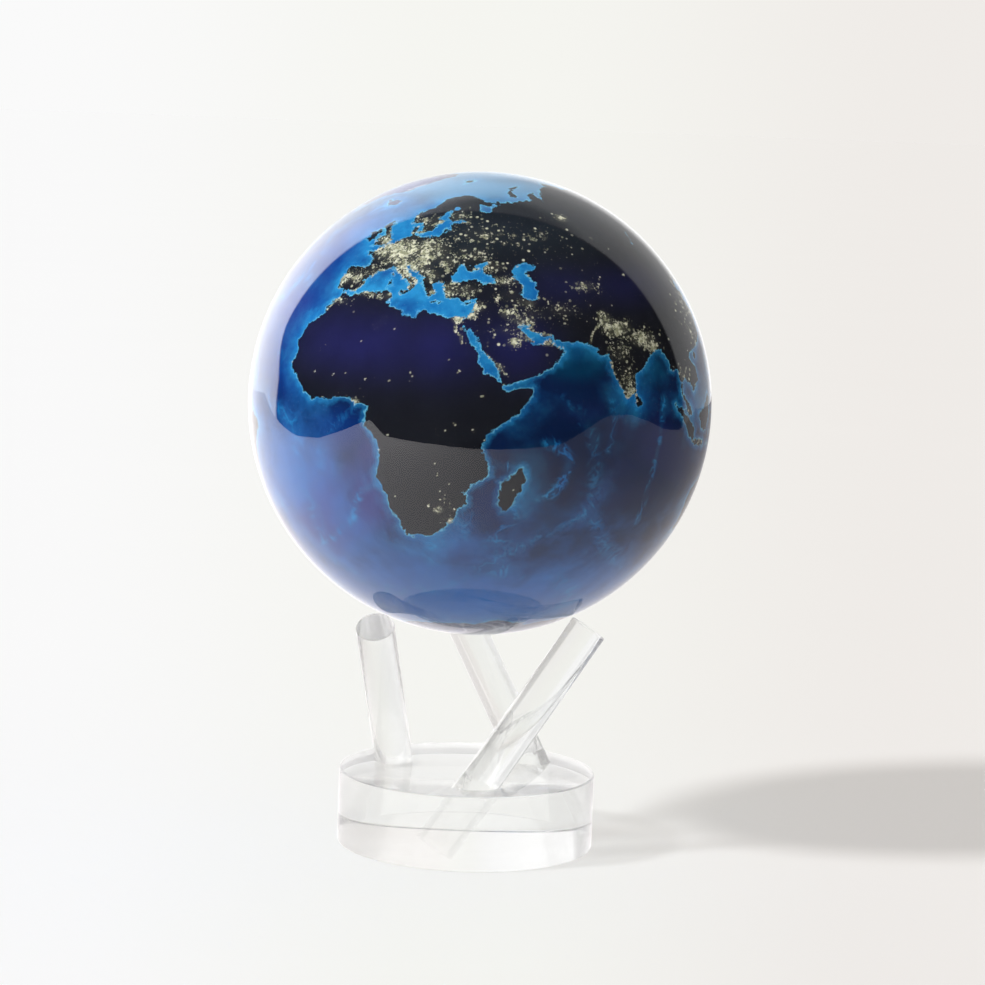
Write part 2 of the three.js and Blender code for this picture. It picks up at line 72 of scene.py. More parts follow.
PLUG_LENGTH = 2.3 * MM
PLUG_CHAMFER = 0.2 * MM
PLUG_GAP = 0.05 * MM
SOCKET_FLOOR = -0.15 * MM
SOCKET_CUT_LENGTH = 40 * MM
ROD_EDGE = 0.35 * MM
DISC_EDGE = 0.5 * MM
RODS = (1, 2, 3)

BALL_SEGMENTS = 192
BALL_STEPS = 110
PLUG_SEGMENTS = 64
ROD_SEGMENTS = 96
DISC_SEGMENTS = 256
FLOOR_SEGMENTS = 64

# ---- Camera ----------------------------------------------------------------------------------

CAMERA_DISTANCE = 13 * BALL_RADIUS
CAMERA_ELEVATION = math.radians(5.4)
CAMERA_ROLL = math.radians(2.13)
CAMERA_LENS_MM = 110.2
SENSOR_WIDTH_MM = 36
AIM = Vector((3.9 * MM, 0, 88.6 * MM))


def make_camera():
    """A long lens a little above the ball's middle, rolled slightly to the side."""
    data = bpy.data.cameras.new("camera")
    data.lens = CAMERA_LENS_MM
    data.sensor_width = SENSOR_WIDTH_MM
    camera = bpy.data.objects.new("camera", data)
    bpy.context.collection.objects.link(camera)
    height = CENTRE.z + CAMERA_DISTANCE * math.tan(CAMERA_ELEVATION)
    camera.location = (0, -CAMERA_DISTANCE, height)
    look = (AIM - camera.location).to_track_quat("-Z", "Y")
    camera.rotation_mode = "QUATERNION"
    camera.rotation_quaternion = look @ Quaternion((0, 0, 1), CAMERA_ROLL)
    bpy.context.scene.camera = camera


# ---- Node helpers ----------------------------------------------------------------------------


class Nodes:
    """Builds a node tree with short calls: each returns the socket of its result."""

    def __init__(self, tree):
        self.tree = tree
        tree.nodes.clear()

    def add(self, kind, **values):
        node = self.tree.nodes.new(kind)
        for name, value in values.items():
            setattr(node, name, value)
        return node

    def feed(self, socket, value):
        """Links another node's result to a socket, or sets the socket's own value."""
        if isinstance(value, bpy.types.NodeSocket):
            self.tree.links.new(value, socket)
        else:
            socket.default_value = value

    def math(self, operation, a, b=0.0, clamp=False):
        node = self.add("ShaderNodeMath", operation=operation, use_clamp=clamp)
        self.feed(node.inputs[0], a)
        self.feed(node.inputs[1], b)
        return node.outputs[0]

    def plus(self, a, b, clamp=False):
        return self.math("ADD", a, b, clamp)

    def minus(self, a, b, clamp=False):
        return self.math("SUBTRACT", a, b, clamp)

    def times(self, a, b):
        return self.math("MULTIPLY", a, b)

    def ramp(self, value, low, high, start=0.0, end=1.0):
        """Runs from start to end as value goes from low to high, with soft ends."""
        node = self.add("ShaderNodeMapRange", interpolation_type="SMOOTHSTEP")
        self.feed(node.inputs["Value"], value)
        self.feed(node.inputs["From Min"], low)
        self.feed(node.inputs["From Max"], high)
        node.inputs["To Min"].default_value = start
        node.inputs["To Max"].default_value = end
        return node.outputs["Result"]

    def mix(self, factor, a, b, blend="MIX"):
        node = self.add("ShaderNodeMix", data_type="RGBA", blend_type=blend)
        self.feed(node.inputs["Factor"], factor)
        self.feed(node.inputs[6], a)
        self.feed(node.inputs[7], b)
        return node.outputs[2]

    def noise(self, scale, detail=3.0, roughness=0.5, distortion=0.0):
        node = self.add("ShaderNodeTexNoise")
        self.feed(node.inputs["Vector"], self.place())
        node.inputs["Scale"].default_value = scale
        node.inputs["Detail"].default_value = detail
        node.inputs["Roughness"].default_value = roughness
        node.inputs["Distortion"].default_value = distortion
        return node.outputs["Fac"]

    def cells(self, scale):
        """A cell pattern: the distance from each cell's middle, and the cell's random colour."""
        node = self.add("ShaderNodeTexVoronoi")
        self.feed(node.inputs["Vector"], self.place())
        node.inputs["Scale"].default_value = scale
        return node.outputs["Distance"], node.outputs["Color"]

    def place(self):
        """The place on the object, in metres."""
        return self.add("ShaderNodeTexCoord").outputs["Object"]

    def field(self, name):
        """One of the map's fields, stored on the printed shells."""
        return self.add("ShaderNodeAttribute", attribute_name=name).outputs["Fac"]

    def bump(self, height, strength, distance):
        node = self.add("ShaderNodeBump")
        node.inputs["Strength"].default_value = strength
        node.inputs["Distance"].default_value = distance
        self.feed(node.inputs["Height"], height)
        return node.outputs["Normal"]

    def finish(self, shader):
        output = self.add("ShaderNodeOutputMaterial")
        self.tree.links.new(shader, output.inputs["Surface"])


def new_material(name):
    material = bpy.data.materials.new(name)
    material.use_nodes = True
    return material, Nodes(material.node_tree)


def display(red, green, blue):
    """A colour given as 0 to 255 screen values, as linear RGBA."""
    def linear(value):
        share = value / 255
        return share / 12.92 if share <= 0.04045 else ((share + 0.055) / 1.055) ** 2.4
    return (linear(red), linear(green), linear(blue), 1.0)


# ---- Stage: floor, mirrored paper, backdrop, lights ------------------------------------------

FLOOR_RADIUS = 60.0
FLOOR_DROP = 0.15 * MM
SOFT_LIGHT = (0.715, 0.70, 0.685, 1)
TONE_LEFT = (0.955, 0.955, 0.955, 1)
TONE_MIDDLE = (0.915, 0.915, 0.875, 1)
TONE_RIGHT = (0.865, 0.835, 0.805, 1)
TONE_SPREAD = 0.15
DARK_DOORWAY = (0.02, 0.018, 0.018, 1)
LAMP_ENERGY = 1.6
GLOW_SHARE = 0.75
LAMP_COLOUR = (0.985, 0.99, 1.0)
LAMP_AZIMUTH = math.radians(204)
LAMP_ELEVATION = math.radians(36)
LAMP_SPREAD = math.radians(8)
ROOM_DARKNESS = 0.012
PAPER_COLOUR = (1.0, 0.965, 0.97, 1)

# Ramps, each with the place where it starts, the place where it ends, and its value at either. The
# room is measured by the direction of a view, and the paper on the floor in metres.
FLOOR_PAPER_BRIGHTNESS = (-0.42, 0.34, 2.5, 0.42)
ROOM_BRIGHTNESS = (-0.80, 0.20, 3.4, 0.68)
ROOM_LEAN = (0.0, 0.25, 0.0, 0.18)
ROOM_PAPER_EDGE = (0.46, 0.50, 0.0, 1.0)
ROOM_PAPER_TOP = (0.74, 0.86, 1.0, 0.35)
ROOM_PAPER_TILT = 0.09
FAR_RIGHT_ACROSS = (-0.05, 0.10, 0.0, 0.8)
FAR_RIGHT_BEHIND = (0.90, 0.99, 0.0, 1.0)
DOORWAY_EDGE = (-0.80, -0.70, 1.0, 0.0)

# The white paper that the ball's gloss mirrors, as points on the floor in metres.
PAPER_OUTLINE = [
    (-1.6, 1.4), (-0.64, 0.26), (-0.49, 0.06), (-0.47, -0.08), (-0.56, -0.22), (-1.0, -0.75),
    (-0.39, -0.40), (-0.18, -0.43), (0.04, -0.415), (0.32, -0.41), (2.5, -1.45), (9.0, -4.0), (7.0, -1.5),
    (1.6, 0.0), (0.95, 0.16), (0.82, 0.34), (1.6, 1.4),
]


def stage_tone(nodes, across):
    """The pale tone of floor and backdrop, which warms and darkens from left to right."""
    tone = nodes.mix(nodes.ramp(across, -TONE_SPREAD, 0.0), TONE_LEFT, TONE_MIDDLE)
    return nodes.mix(nodes.ramp(across, 0.0, TONE_SPREAD), tone, TONE_RIGHT)


def lit_floor():
    """What the lamp and the soft light give a white floor, as linear RGBA."""
    lamp = LAMP_ENERGY * math.sin(LAMP_ELEVATION) / math.pi
    return [soft + lamp * tint for soft, tint in zip(SOFT_LIGHT, LAMP_COLOUR)] + [1]


def floor_material():
    """A floor that has the backdrop's tone once lit. A soft glow under the ball makes up for the
    sky light that the ball takes away."""
    material, nodes = new_material("pale_floor")
    place = nodes.place()
    split = nodes.add("ShaderNodeSeparateXYZ")
    nodes.feed(split.inputs[0], place)
    ahead = nodes.math("MAXIMUM", nodes.plus(split.outputs["Y"], CAMERA_DISTANCE), 0.1)
    tone = stage_tone(nodes, nodes.math("DIVIDE", split.outputs["X"], ahead))
    white = nodes.mix(1.0, tone, lit_floor(), "DIVIDE")
    grain = nodes.noise(6.0, detail=2.0)
    shader = nodes.add("ShaderNodeBsdfPrincipled")
    nodes.feed(shader.inputs["Base Color"], nodes.mix(grain, white, (0.99, 0.99, 0.99, 1), "MULTIPLY"))
    shader.inputs["Roughness"].default_value = 0.9
    shader.inputs["Specular IOR Level"].default_value = 0.0
    reach = nodes.add("ShaderNodeVectorMath", operation="LENGTH")
    nodes.feed(reach.inputs[0], place)
    squared = nodes.times(reach.outputs["Value"], reach.outputs["Value"])
    slant = nodes.math("POWER", nodes.plus(squared, CENTRE.z ** 2), 1.5)
    glow = nodes.math("DIVIDE", GLOW_SHARE * BALL_RADIUS ** 2 * CENTRE.z, slant)
    nodes.feed(shader.inputs["Emission Strength"], glow)
    shader.inputs["Emission Color"].default_value = SOFT_LIGHT
    nodes.finish(shader.outputs[0])
    return material


def mirrored_paper_material():
    """White paper as the gloss sees it: brightest on the lamp's side."""
    material, nodes = new_material("mirrored_paper")
    split = nodes.add("ShaderNodeSeparateXYZ")
    nodes.feed(split.inputs[0], nodes.place())
    glow = nodes.add("ShaderNodeEmission")
    nodes.feed(glow.inputs["Strength"], nodes.ramp(split.outputs["X"], *FLOOR_PAPER_BRIGHTNESS))
    glow.inputs["Color"].default_value = PAPER_COLOUR
    nodes.finish(glow.outputs[0])
    return material


def mesh_object(name, vertices, faces, smooth=True):
    mesh = bpy.data.meshes.new(name)
    mesh.from_pydata([tuple(v) for v in vertices], [], faces)
    mesh.update()
    if smooth:
        mesh.shade_smooth()
    obj = bpy.data.objects.new(name, mesh)
    bpy.context.collection.objects.link(obj)
    return obj


def make_mirrored_paper():
    """The paper on the floor, just below its surface, which only the gloss sees."""
    outline = [(x, y, -2 * FLOOR_DROP) for x, y in PAPER_OUTLINE]
    paper = mesh_object("mirrored_paper", outline, [tuple(range(len(outline)))], smooth=False)
    paper.data.materials.append(mirrored_paper_material())
    paper.visible_camera = False
    paper.visible_diffuse = False
    paper.visible_shadow = False
    paper.visible_transmission = False


def make_floor():
    """A pale floor that runs to the horizon, where it meets a backdrop of the same tone. The gloss
    sees the mirrored paper in its place."""
    vertices, faces = spin([(0.0, -FLOOR_DROP), (FLOOR_RADIUS, -FLOOR_DROP)], FLOOR_SEGMENTS)
    floor = mesh_object("floor", vertices, [face[::-1] for face in faces], smooth=False)
    floor.data.materials.append(floor_material())
    floor.visible_glossy = False
    floor.visible_diffuse = False


def room_in_the_gloss(nodes, split):
    """A dark room with a white paper behind the object, brightest on the lamp's side. The paper's
    edge leans with height and towards the left."""
    across, behind, up = split.outputs
    brightness = nodes.ramp(across, *ROOM_BRIGHTNESS)
    lean = nodes.times(nodes.math("MINIMUM", across, 0.0), nodes.ramp(up, *ROOM_LEAN))
    height = nodes.times(up, ROOM_PAPER_TILT)
    edge = nodes.ramp(nodes.plus(behind, nodes.plus(height, lean)), *ROOM_PAPER_EDGE)
    upper = nodes.ramp(up, *ROOM_PAPER_TOP)
    far_right = nodes.times(nodes.ramp(across, *FAR_RIGHT_ACROSS), nodes.ramp(behind, *FAR_RIGHT_BEHIND))
    paper = nodes.times(nodes.times(edge, upper), nodes.plus(brightness, far_right))
    return nodes.plus(paper, ROOM_DARKNESS)


def make_world():
    """Soft white light all round, a pale backdrop for the view, and a dark room for the gloss."""
    world = bpy.data.worlds.new("studio")
    bpy.context.scene.world = world
    world.use_nodes = True
    nodes = Nodes(world.node_tree)
    split = nodes.add("ShaderNodeSeparateXYZ")
    nodes.feed(split.inputs[0], nodes.add("ShaderNodeTexCoord").outputs["Generated"])
    path = nodes.add("ShaderNodeLightPath")
    seen_through = path.outputs["Is Transmission Ray"]
    seen = nodes.math("MAXIMUM", path.outputs["Is Camera Ray"], seen_through)
    mirrored = nodes.minus(path.outputs["Is Glossy Ray"], seen_through, clamp=True)
    colour = nodes.mix(seen, SOFT_LIGHT, stage_tone(nodes, split.outputs["X"]))
    doorway = nodes.times(nodes.ramp(split.outputs["X"], *DOORWAY_EDGE), seen_through)
    colour = nodes.mix(doorway, colour, DARK_DOORWAY)
    colour = nodes.mix(mirrored, colour, room_in_the_gloss(nodes, split))
    background = nodes.add("ShaderNodeBackground")
    nodes.feed(background.inputs["Color"], colour)
    output = nodes.add("ShaderNodeOutputWorld")
    nodes.tree.links.new(background.outputs[0], output.inputs["Surface"])


def make_key_light():
    """One broad distant lamp at the front left, which throws the shadow to the right."""
    data = bpy.data.lights.new("key", "SUN")
    data.energy = LAMP_ENERGY
    data.angle = LAMP_SPREAD
    data.color = LAMP_COLOUR
    key = bpy.data.objects.new("key", data)
    bpy.context.collection.objects.link(key)
    towards = Vector((
        math.cos(LAMP_ELEVATION) * math.cos(LAMP_AZIMUTH),
        math.cos(LAMP_ELEVATION) * math.sin(LAMP_AZIMUTH),
        math.sin(LAMP_ELEVATION),
    ))
    key.location = CENTRE + towards
    key.rotation_mode = "QUATERNION"
    key.rotation_quaternion = (-towards).to_track_quat("-Z", "Y")
    key.visible_glossy = False


def make_stage():
    """Everything around the object, and the plain view transform."""
    make_mirrored_paper()
    make_floor()
    make_world()
    make_key_light()
    bpy.context.scene.view_settings.view_transform = "Standard"


# ---- Mesh builders ---------------------------------------------------------------------------


def ring_faces(rings, flipped=False):
    """Faces between neighbouring rings of point numbers. A number repeated at a pole counts once."""
    faces = []
    for low, high in zip(rings, rings[1:]):
        for step in range(len(low)):
            after = (step + 1) % len(low)
            corners = [low[step], low[after], high[after], high[step]]
            if flipped:
                corners.reverse()
            face = tuple(dict.fromkeys(corners))
            if len(face) > 2:
                faces.append(face)
    return faces


def spin(profile, segments):
    """A surface of revolution about Z from (reach, z) points. Points on the axis become one vertex.
    The outside of the profile runs upward."""
    vertices, rings = [], []
    for reach, z in profile:
        if reach < 1e-9:
            rings.append([len(vertices)] * segments)
            vertices.append((0.0, 0.0, z))
        else:
            rings.append(list(range(len(vertices), len(vertices) + segments)))
            for step in range(segments):
                angle = 2 * math.pi * step / segments
                vertices.append((reach * math.cos(angle), reach * math.sin(angle), z))
    return vertices, ring_faces(rings)


def arc(centre, radius, start, end, steps):
    """Points of an arc in the profile plane, angles in degrees from the outward direction."""
    points = []
    for step in range(steps + 1):
        angle = math.radians(start + (end - start) * step / steps)
        points.append((centre[0] + radius * math.cos(angle), centre[1] + radius * math.sin(angle)))
    return points


# ---- The map, in degrees of longitude and latitude -------------------------------------------

# The meridian that faces the camera, and the columns and rows of the grid that carries the map.
FACING = 38.2
COLUMNS = 600
ROWS = 300
EQUATOR_ROW = ROWS // 2

COAST_REACH = 9.0
SHARED_BORDERS = [[(32.4, 31.2), (32.6, 29.9)], [(-77.3, 8.5), (-78.2, 7.6)]]

# Outlines of the land, then of the water inside it.

LAND = {
    "africa": [
        (-5.9, 35.8), (-2.9, 35.2), (1.0, 36.5), (5.0, 36.8), (9.8, 37.3), (11.0, 36.9), (10.2, 34.5),
        (11.2, 33.2), (15.2, 32.3), (15.8, 31.3), (19.0, 30.3), (20.1, 31.2), (20.1, 32.2), (21.7, 32.9),
        (23.2, 32.4), (25.0, 31.6), (29.0, 30.9), (31.0, 31.5), (32.4, 31.2), (32.6, 29.9), (33.9, 27.2),
        (35.6, 24.0), (37.2, 21.0), (37.3, 18.8), (39.2, 15.7), (41.2, 14.5), (43.2, 12.4), (43.3, 11.5),
        (44.9, 10.4), (47.5, 11.1), (51.2, 11.9), (50.8, 9.0), (49.0, 6.0), (47.5, 4.0), (45.3, 2.0),
        (42.5, -0.4), (40.1, -2.6), (39.3, -5.0), (38.8, -6.5), (39.6, -9.0), (40.5, -10.8), (40.8, -15.0),
        (38.0, -17.2), (36.9, -18.0), (34.8, -19.9), (35.5, -22.1), (35.4, -24.0), (32.8, -25.9),
        (32.4, -28.5), (31.0, -30.0), (28.0, -33.0), (25.7, -34.0), (22.0, -34.1), (20.0, -34.8),
        (18.4, -34.1), (18.0, -32.6), (16.6, -28.7), (15.0, -26.7), (14.5, -22.9), (12.8, -19.0),
        (11.8, -16.8), (13.5, -12.5), (13.2, -9.0), (12.2, -5.9), (9.4, -2.0), (8.8, -0.7), (9.5, 1.0),
        (9.7, 3.9), (8.5, 4.6), (6.0, 4.3), (4.5, 6.3), (1.2, 6.1), (-2.1, 4.8), (-4.5, 5.2), (-7.6, 4.4),
        (-11.3, 6.8), (-13.2, 8.7), (-13.8, 9.8), (-15.0, 11.0), (-16.8, 12.4), (-17.4, 14.7),
        (-16.5, 16.2), (-16.3, 19.2), (-17.0, 21.0), (-15.8, 23.8), (-14.5, 26.1), (-13.0, 27.7),
        (-11.2, 28.4), (-9.7, 30.0), (-9.8, 31.5), (-7.6, 33.6), (-6.8, 34.1)],
    "eurasia": [
        (32.4, 31.2), (34.3, 31.3), (35.0, 32.8), (35.9, 35.3), (36.1, 36.7), (34.0, 36.2), (32.4, 36.0),
        (30.6, 36.8), (29.0, 36.3), (27.3, 37.0), (26.4, 38.3), (26.9, 39.3), (26.2, 40.1), (26.0, 40.8),
        (24.4, 40.9), (22.9, 40.4), (23.0, 39.3), (24.0, 38.0), (23.0, 36.6), (22.3, 36.6), (21.6, 37.0),
        (21.3, 38.2), (20.3, 39.5), (19.4, 40.5), (19.4, 42.0), (18.0, 42.9), (15.8, 43.9), (14.2, 45.1),
        (13.6, 45.7), (12.4, 45.3), (12.4, 44.3), (13.6, 43.6), (14.8, 42.1), (16.1, 41.8), (18.4, 40.2),
        (17.0, 40.5), (17.1, 38.9), (15.8, 37.9), (15.8, 39.9), (14.3, 40.7), (12.3, 41.7), (10.5, 43.0),
        (9.8, 44.1), (8.8, 44.4), (7.4, 43.7), (5.0, 43.3), (3.2, 43.0), (3.2, 41.9), (0.8, 41.0),
        (-0.3, 39.4), (0.1, 38.7), (-0.8, 37.6), (-2.2, 36.8), (-4.5, 36.7), (-5.5, 36.0), (-6.4, 36.8),
        (-8.9, 37.0), (-9.4, 38.8), (-8.8, 41.0), (-9.2, 43.1), (-7.9, 43.7), (-3.5, 43.5), (-1.7, 43.4),
        (-1.2, 44.7), (-1.2, 46.1), (-2.8, 47.4), (-4.7, 48.2), (-3.0, 48.8), (-1.6, 48.7), (-1.8, 49.7),
        (0.1, 49.6), (1.6, 50.8), (3.6, 51.5), (4.6, 52.7), (7.0, 53.5), (8.7, 53.9), (8.2, 55.5),
        (8.2, 57.0), (10.6, 57.7), (10.3, 56.2), (10.4, 54.6), (11.0, 54.0), (14.3, 53.9), (18.5, 54.7),
        (19.9, 54.5), (21.1, 56.0), (21.6, 57.5), (24.3, 57.1), (23.6, 58.8), (24.5, 59.5), (28.0, 59.6),
        (30.0, 59.9), (27.0, 60.5), (23.0, 59.9), (21.4, 61.0), (21.5, 63.0), (24.5, 64.9), (25.3, 65.2),
        (22.2, 65.8), (21.2, 64.5), (19.0, 63.2), (17.3, 61.7), (17.3, 60.6), (18.9, 59.8), (18.0, 58.9),
        (16.6, 57.9), (16.4, 56.6), (14.3, 55.5), (12.8, 55.5), (12.5, 56.3), (11.2, 58.9), (10.6, 59.2),
        (8.0, 58.1), (5.6, 58.7), (5.0, 60.5), (5.1, 62.0), (8.5, 63.5), (10.5, 64.5), (12.5, 66.0),
        (14.5, 68.0), (18.0, 69.6), (22.5, 70.4), (25.7, 71.1), (31.0, 70.3), (33.5, 69.3), (41.0, 67.6),
        (40.5, 66.3), (34.0, 66.7), (34.8, 64.3), (38.0, 64.0), (40.5, 64.6), (40.5, 65.8), (44.0, 66.2),
        (44.0, 68.5), (46.0, 68.0), (54.0, 68.3), (60.5, 69.0), (65.0, 69.2), (67.0, 69.7), (66.8, 71.5),
        (69.0, 72.9), (72.8, 72.8), (72.5, 71.2), (73.5, 68.2), (77.5, 72.2), (80.5, 72.8), (80.5, 73.6),
        (87.0, 75.0), (98.0, 76.2), (104.3, 77.7), (113.5, 75.8), (113.0, 73.9), (118.0, 73.2),
        (127.0, 73.0), (130.0, 71.0), (140.0, 72.5), (150.0, 71.6), (160.0, 69.8), (170.0, 69.9),
        (179.0, 69.1), (190.0, 66.1), (187.0, 64.6), (180.0, 64.8), (179.0, 62.5), (170.5, 60.1),
        (163.5, 58.5), (162.5, 56.0), (160.0, 53.2), (156.7, 51.0), (155.7, 55.0), (156.5, 57.8),
        (163.0, 61.6), (160.0, 61.6), (155.0, 59.4), (143.0, 59.3), (135.2, 54.8), (141.0, 53.3),
        (140.5, 50.0), (138.0, 46.5), (132.0, 43.1), (130.0, 42.0), (127.6, 39.8), (129.4, 37.0),
        (129.2, 35.2), (126.4, 34.6), (126.6, 37.2), (125.0, 38.0), (124.6, 39.8), (121.3, 39.0),
        (121.5, 40.7), (118.0, 39.1), (119.0, 37.2), (122.5, 37.3), (119.3, 35.0), (121.9, 31.5),
        (121.7, 28.9), (119.5, 25.5), (116.8, 23.3), (114.0, 22.3), (110.4, 21.2), (109.8, 20.4),
        (108.3, 21.6), (106.0, 19.9), (105.8, 18.8), (108.8, 15.5), (109.3, 12.0), (107.0, 10.4),
        (105.0, 8.7), (104.8, 10.2), (102.3, 12.2), (100.9, 13.4), (99.9, 12.0), (99.3, 9.4), (100.6, 7.2),
        (103.4, 4.5), (104.2, 1.4), (101.4, 2.9), (100.3, 6.0), (98.3, 8.0), (98.6, 11.7), (97.6, 16.4),
        (95.4, 15.8), (94.3, 16.2), (94.3, 18.5), (92.3, 21.0), (91.8, 22.5), (89.0, 21.8), (87.0, 21.4),
        (86.4, 20.0), (82.3, 16.6), (80.2, 15.6), (80.2, 13.0), (79.8, 10.3), (78.2, 8.9), (77.5, 8.1),
        (76.3, 9.9), (74.8, 12.9), (73.4, 16.5), (72.8, 19.0), (72.7, 21.2), (72.3, 22.2), (70.9, 20.8),
        (69.0, 22.3), (70.2, 23.0), (68.2, 23.7), (66.9, 24.8), (64.5, 25.2), (61.5, 25.1), (57.3, 25.7),
        (56.8, 27.1), (54.5, 26.6), (51.5, 27.9), (50.2, 30.0), (48.6, 30.0), (48.0, 29.4), (49.0, 27.6),
        (50.2, 26.6), (50.8, 24.8), (51.3, 26.1), (51.6, 24.4), (54.0, 24.2), (56.3, 26.2), (56.5, 24.5),
        (58.6, 23.6), (59.8, 22.5), (57.8, 20.2), (57.7, 18.9), (55.2, 17.4), (52.2, 15.6), (48.7, 14.0),
        (45.0, 12.8), (43.5, 12.7), (42.8, 15.0), (42.5, 16.9), (39.2, 21.4), (37.2, 24.8), (35.1, 28.0),
        (34.95, 29.5), (34.3, 27.9), (33.2, 28.6), (32.6, 29.9)],
    "north_america": [
        (-168.0, 65.6), (-162.0, 66.3), (-166.5, 68.3), (-156.6, 71.3), (-141.0, 69.6), (-134.0, 69.5),
        (-128.0, 70.3), (-115.0, 68.2), (-108.0, 68.3), (-95.5, 68.3), (-95.0, 71.8), (-88.0, 68.5),
        (-82.0, 69.6), (-81.4, 67.5), (-87.0, 65.0), (-94.0, 61.0), (-94.7, 58.8), (-92.5, 57.0),
        (-85.0, 55.3), (-82.3, 53.0), (-79.8, 51.2), (-78.7, 54.0), (-77.0, 56.5), (-78.3, 59.0),
        (-77.5, 62.5), (-70.0, 61.0), (-65.0, 59.5), (-62.0, 57.5), (-57.0, 54.0), (-55.8, 52.6),
        (-60.0, 50.2), (-66.5, 50.2), (-70.5, 47.2), (-65.0, 49.0), (-64.5, 47.5), (-64.0, 46.0),
        (-60.2, 46.8), (-61.5, 45.6), (-65.8, 43.6), (-66.5, 45.0), (-70.2, 43.6), (-70.8, 42.3),
        (-70.0, 41.7), (-73.5, 40.8), (-74.2, 39.5), (-75.8, 37.2), (-75.6, 35.3), (-78.5, 33.9),
        (-81.2, 31.7), (-81.4, 30.3), (-80.1, 26.5), (-80.6, 25.2), (-81.8, 26.3), (-82.8, 28.5),
        (-84.2, 30.1), (-86.5, 30.4), (-89.5, 30.3), (-90.0, 29.1), (-94.0, 29.7), (-97.2, 27.8),
        (-97.6, 24.0), (-97.3, 20.5), (-94.5, 18.2), (-91.5, 18.6), (-90.4, 21.1), (-87.1, 21.5),
        (-87.8, 18.3), (-88.6, 15.9), (-83.3, 15.0), (-83.6, 11.5), (-82.2, 9.0), (-79.8, 9.5),
        (-77.3, 8.5), (-78.2, 7.6), (-80.0, 7.4), (-82.9, 8.2), (-85.7, 10.0), (-87.6, 13.0), (-91.4, 14.0),
        (-94.8, 16.2), (-99.8, 16.8), (-104.3, 19.2), (-105.6, 20.5), (-105.6, 22.6), (-109.2, 26.0),
        (-113.0, 31.2), (-114.7, 31.7), (-112.0, 27.6), (-109.5, 23.2), (-112.2, 25.0), (-115.0, 28.0),
        (-116.0, 30.5), (-117.2, 32.7), (-120.6, 34.6), (-122.4, 37.4), (-124.3, 40.4), (-124.4, 43.0),
        (-124.0, 46.3), (-124.7, 48.4), (-122.6, 48.2), (-123.2, 49.2), (-127.8, 51.5), (-130.3, 54.5),
        (-134.0, 58.0), (-139.8, 59.8), (-146.0, 60.8), (-151.5, 60.5), (-152.0, 59.2), (-158.0, 56.4),
        (-164.0, 54.6), (-158.5, 57.8), (-157.5, 58.8), (-162.0, 58.8), (-165.5, 61.5), (-161.0, 64.0),
        (-166.0, 64.5)],
    "south_america": [
        (-77.3, 8.5), (-75.6, 10.6), (-71.7, 12.3), (-71.2, 10.9), (-68.0, 10.8), (-62.0, 10.7),
        (-60.0, 8.5), (-57.0, 6.0), (-51.8, 4.5), (-50.0, 0.8), (-48.0, -0.8), (-44.3, -2.5), (-39.0, -3.3),
        (-35.3, -5.2), (-34.9, -8.0), (-38.5, -13.0), (-39.1, -17.5), (-41.0, -22.0), (-44.5, -23.1),
        (-48.5, -26.0), (-48.7, -28.5), (-52.2, -32.3), (-54.9, -34.9), (-58.3, -34.2), (-57.0, -36.3),
        (-57.6, -38.1), (-62.2, -38.9), (-62.3, -40.7), (-65.0, -41.0), (-63.7, -42.6), (-67.4, -46.0),
        (-65.8, -47.8), (-69.0, -50.5), (-68.4, -52.4), (-65.3, -54.8), (-69.0, -55.5), (-74.5, -52.5),
        (-75.5, -47.5), (-73.0, -43.0), (-73.6, -37.2), (-71.5, -32.8), (-71.3, -29.5), (-70.3, -23.5),
        (-70.4, -18.3), (-76.2, -14.0), (-79.7, -7.2), (-81.3, -4.6), (-80.2, -2.8), (-80.9, -1.0),
        (-79.0, 1.6), (-77.3, 4.0), (-77.8, 7.3)],
    "australia": [
        (114.2, -21.8), (113.5, -24.5), (114.0, -27.5), (115.7, -31.8), (115.0, -34.3), (118.0, -35.0),
        (123.5, -33.9), (129.0, -31.6), (134.0, -32.7), (135.7, -34.9), (137.8, -32.7), (138.3, -35.6),
        (140.5, -38.0), (144.0, -38.3), (146.4, -39.1), (150.0, -37.4), (151.4, -33.5), (153.6, -28.5),
        (153.0, -25.3), (150.8, -23.3), (146.5, -19.0), (145.3, -15.0), (142.6, -10.8), (141.6, -13.0),
        (140.8, -17.4), (137.8, -16.3), (135.8, -15.0), (136.9, -12.2), (132.5, -11.5), (130.5, -12.5),
        (129.5, -14.9), (126.5, -14.0), (122.3, -17.3), (121.8, -18.6), (117.0, -20.7)],
    "antarctica": [
        (-180, -78.5), (-158, -78.0), (-145, -75.5), (-130, -74.3), (-100, -72.5), (-80, -73.0), (-67, -68.0),
        (-62, -64.5), (-57, -63.3), (-61, -67.0), (-61, -74.0), (-60, -77.5), (-35, -78.0), (-25, -74.0),
        (-10, -71.0), (10, -70.0), (33, -68.8), (40, -69.5), (52, -66.2), (58, -67.2), (70, -68.5),
        (73, -70.0), (80, -68.0), (95, -66.5), (115, -66.8), (135, -66.2), (150, -68.5), (165, -71.0),
        (171, -72.0), (164, -77.8), (180, -78.5), (180, -90), (-180, -90)],
    "greenland": [
        (-73.0, 78.3), (-68.0, 80.3), (-60.0, 82.0), (-35.0, 83.6), (-20.0, 82.0), (-18.0, 78.0),
        (-20.5, 74.0), (-22.5, 70.5), (-32.0, 68.0), (-40.0, 65.0), (-43.5, 60.0), (-48.5, 61.5),
        (-53.0, 66.0), (-51.0, 69.5), (-55.0, 71.5), (-61.0, 75.8), (-68.5, 76.0)],
    "baffin": [
        (-61.5, 66.7), (-64.5, 63.0), (-71.0, 63.0), (-77.5, 65.0), (-73.0, 68.0), (-80.0, 70.0),
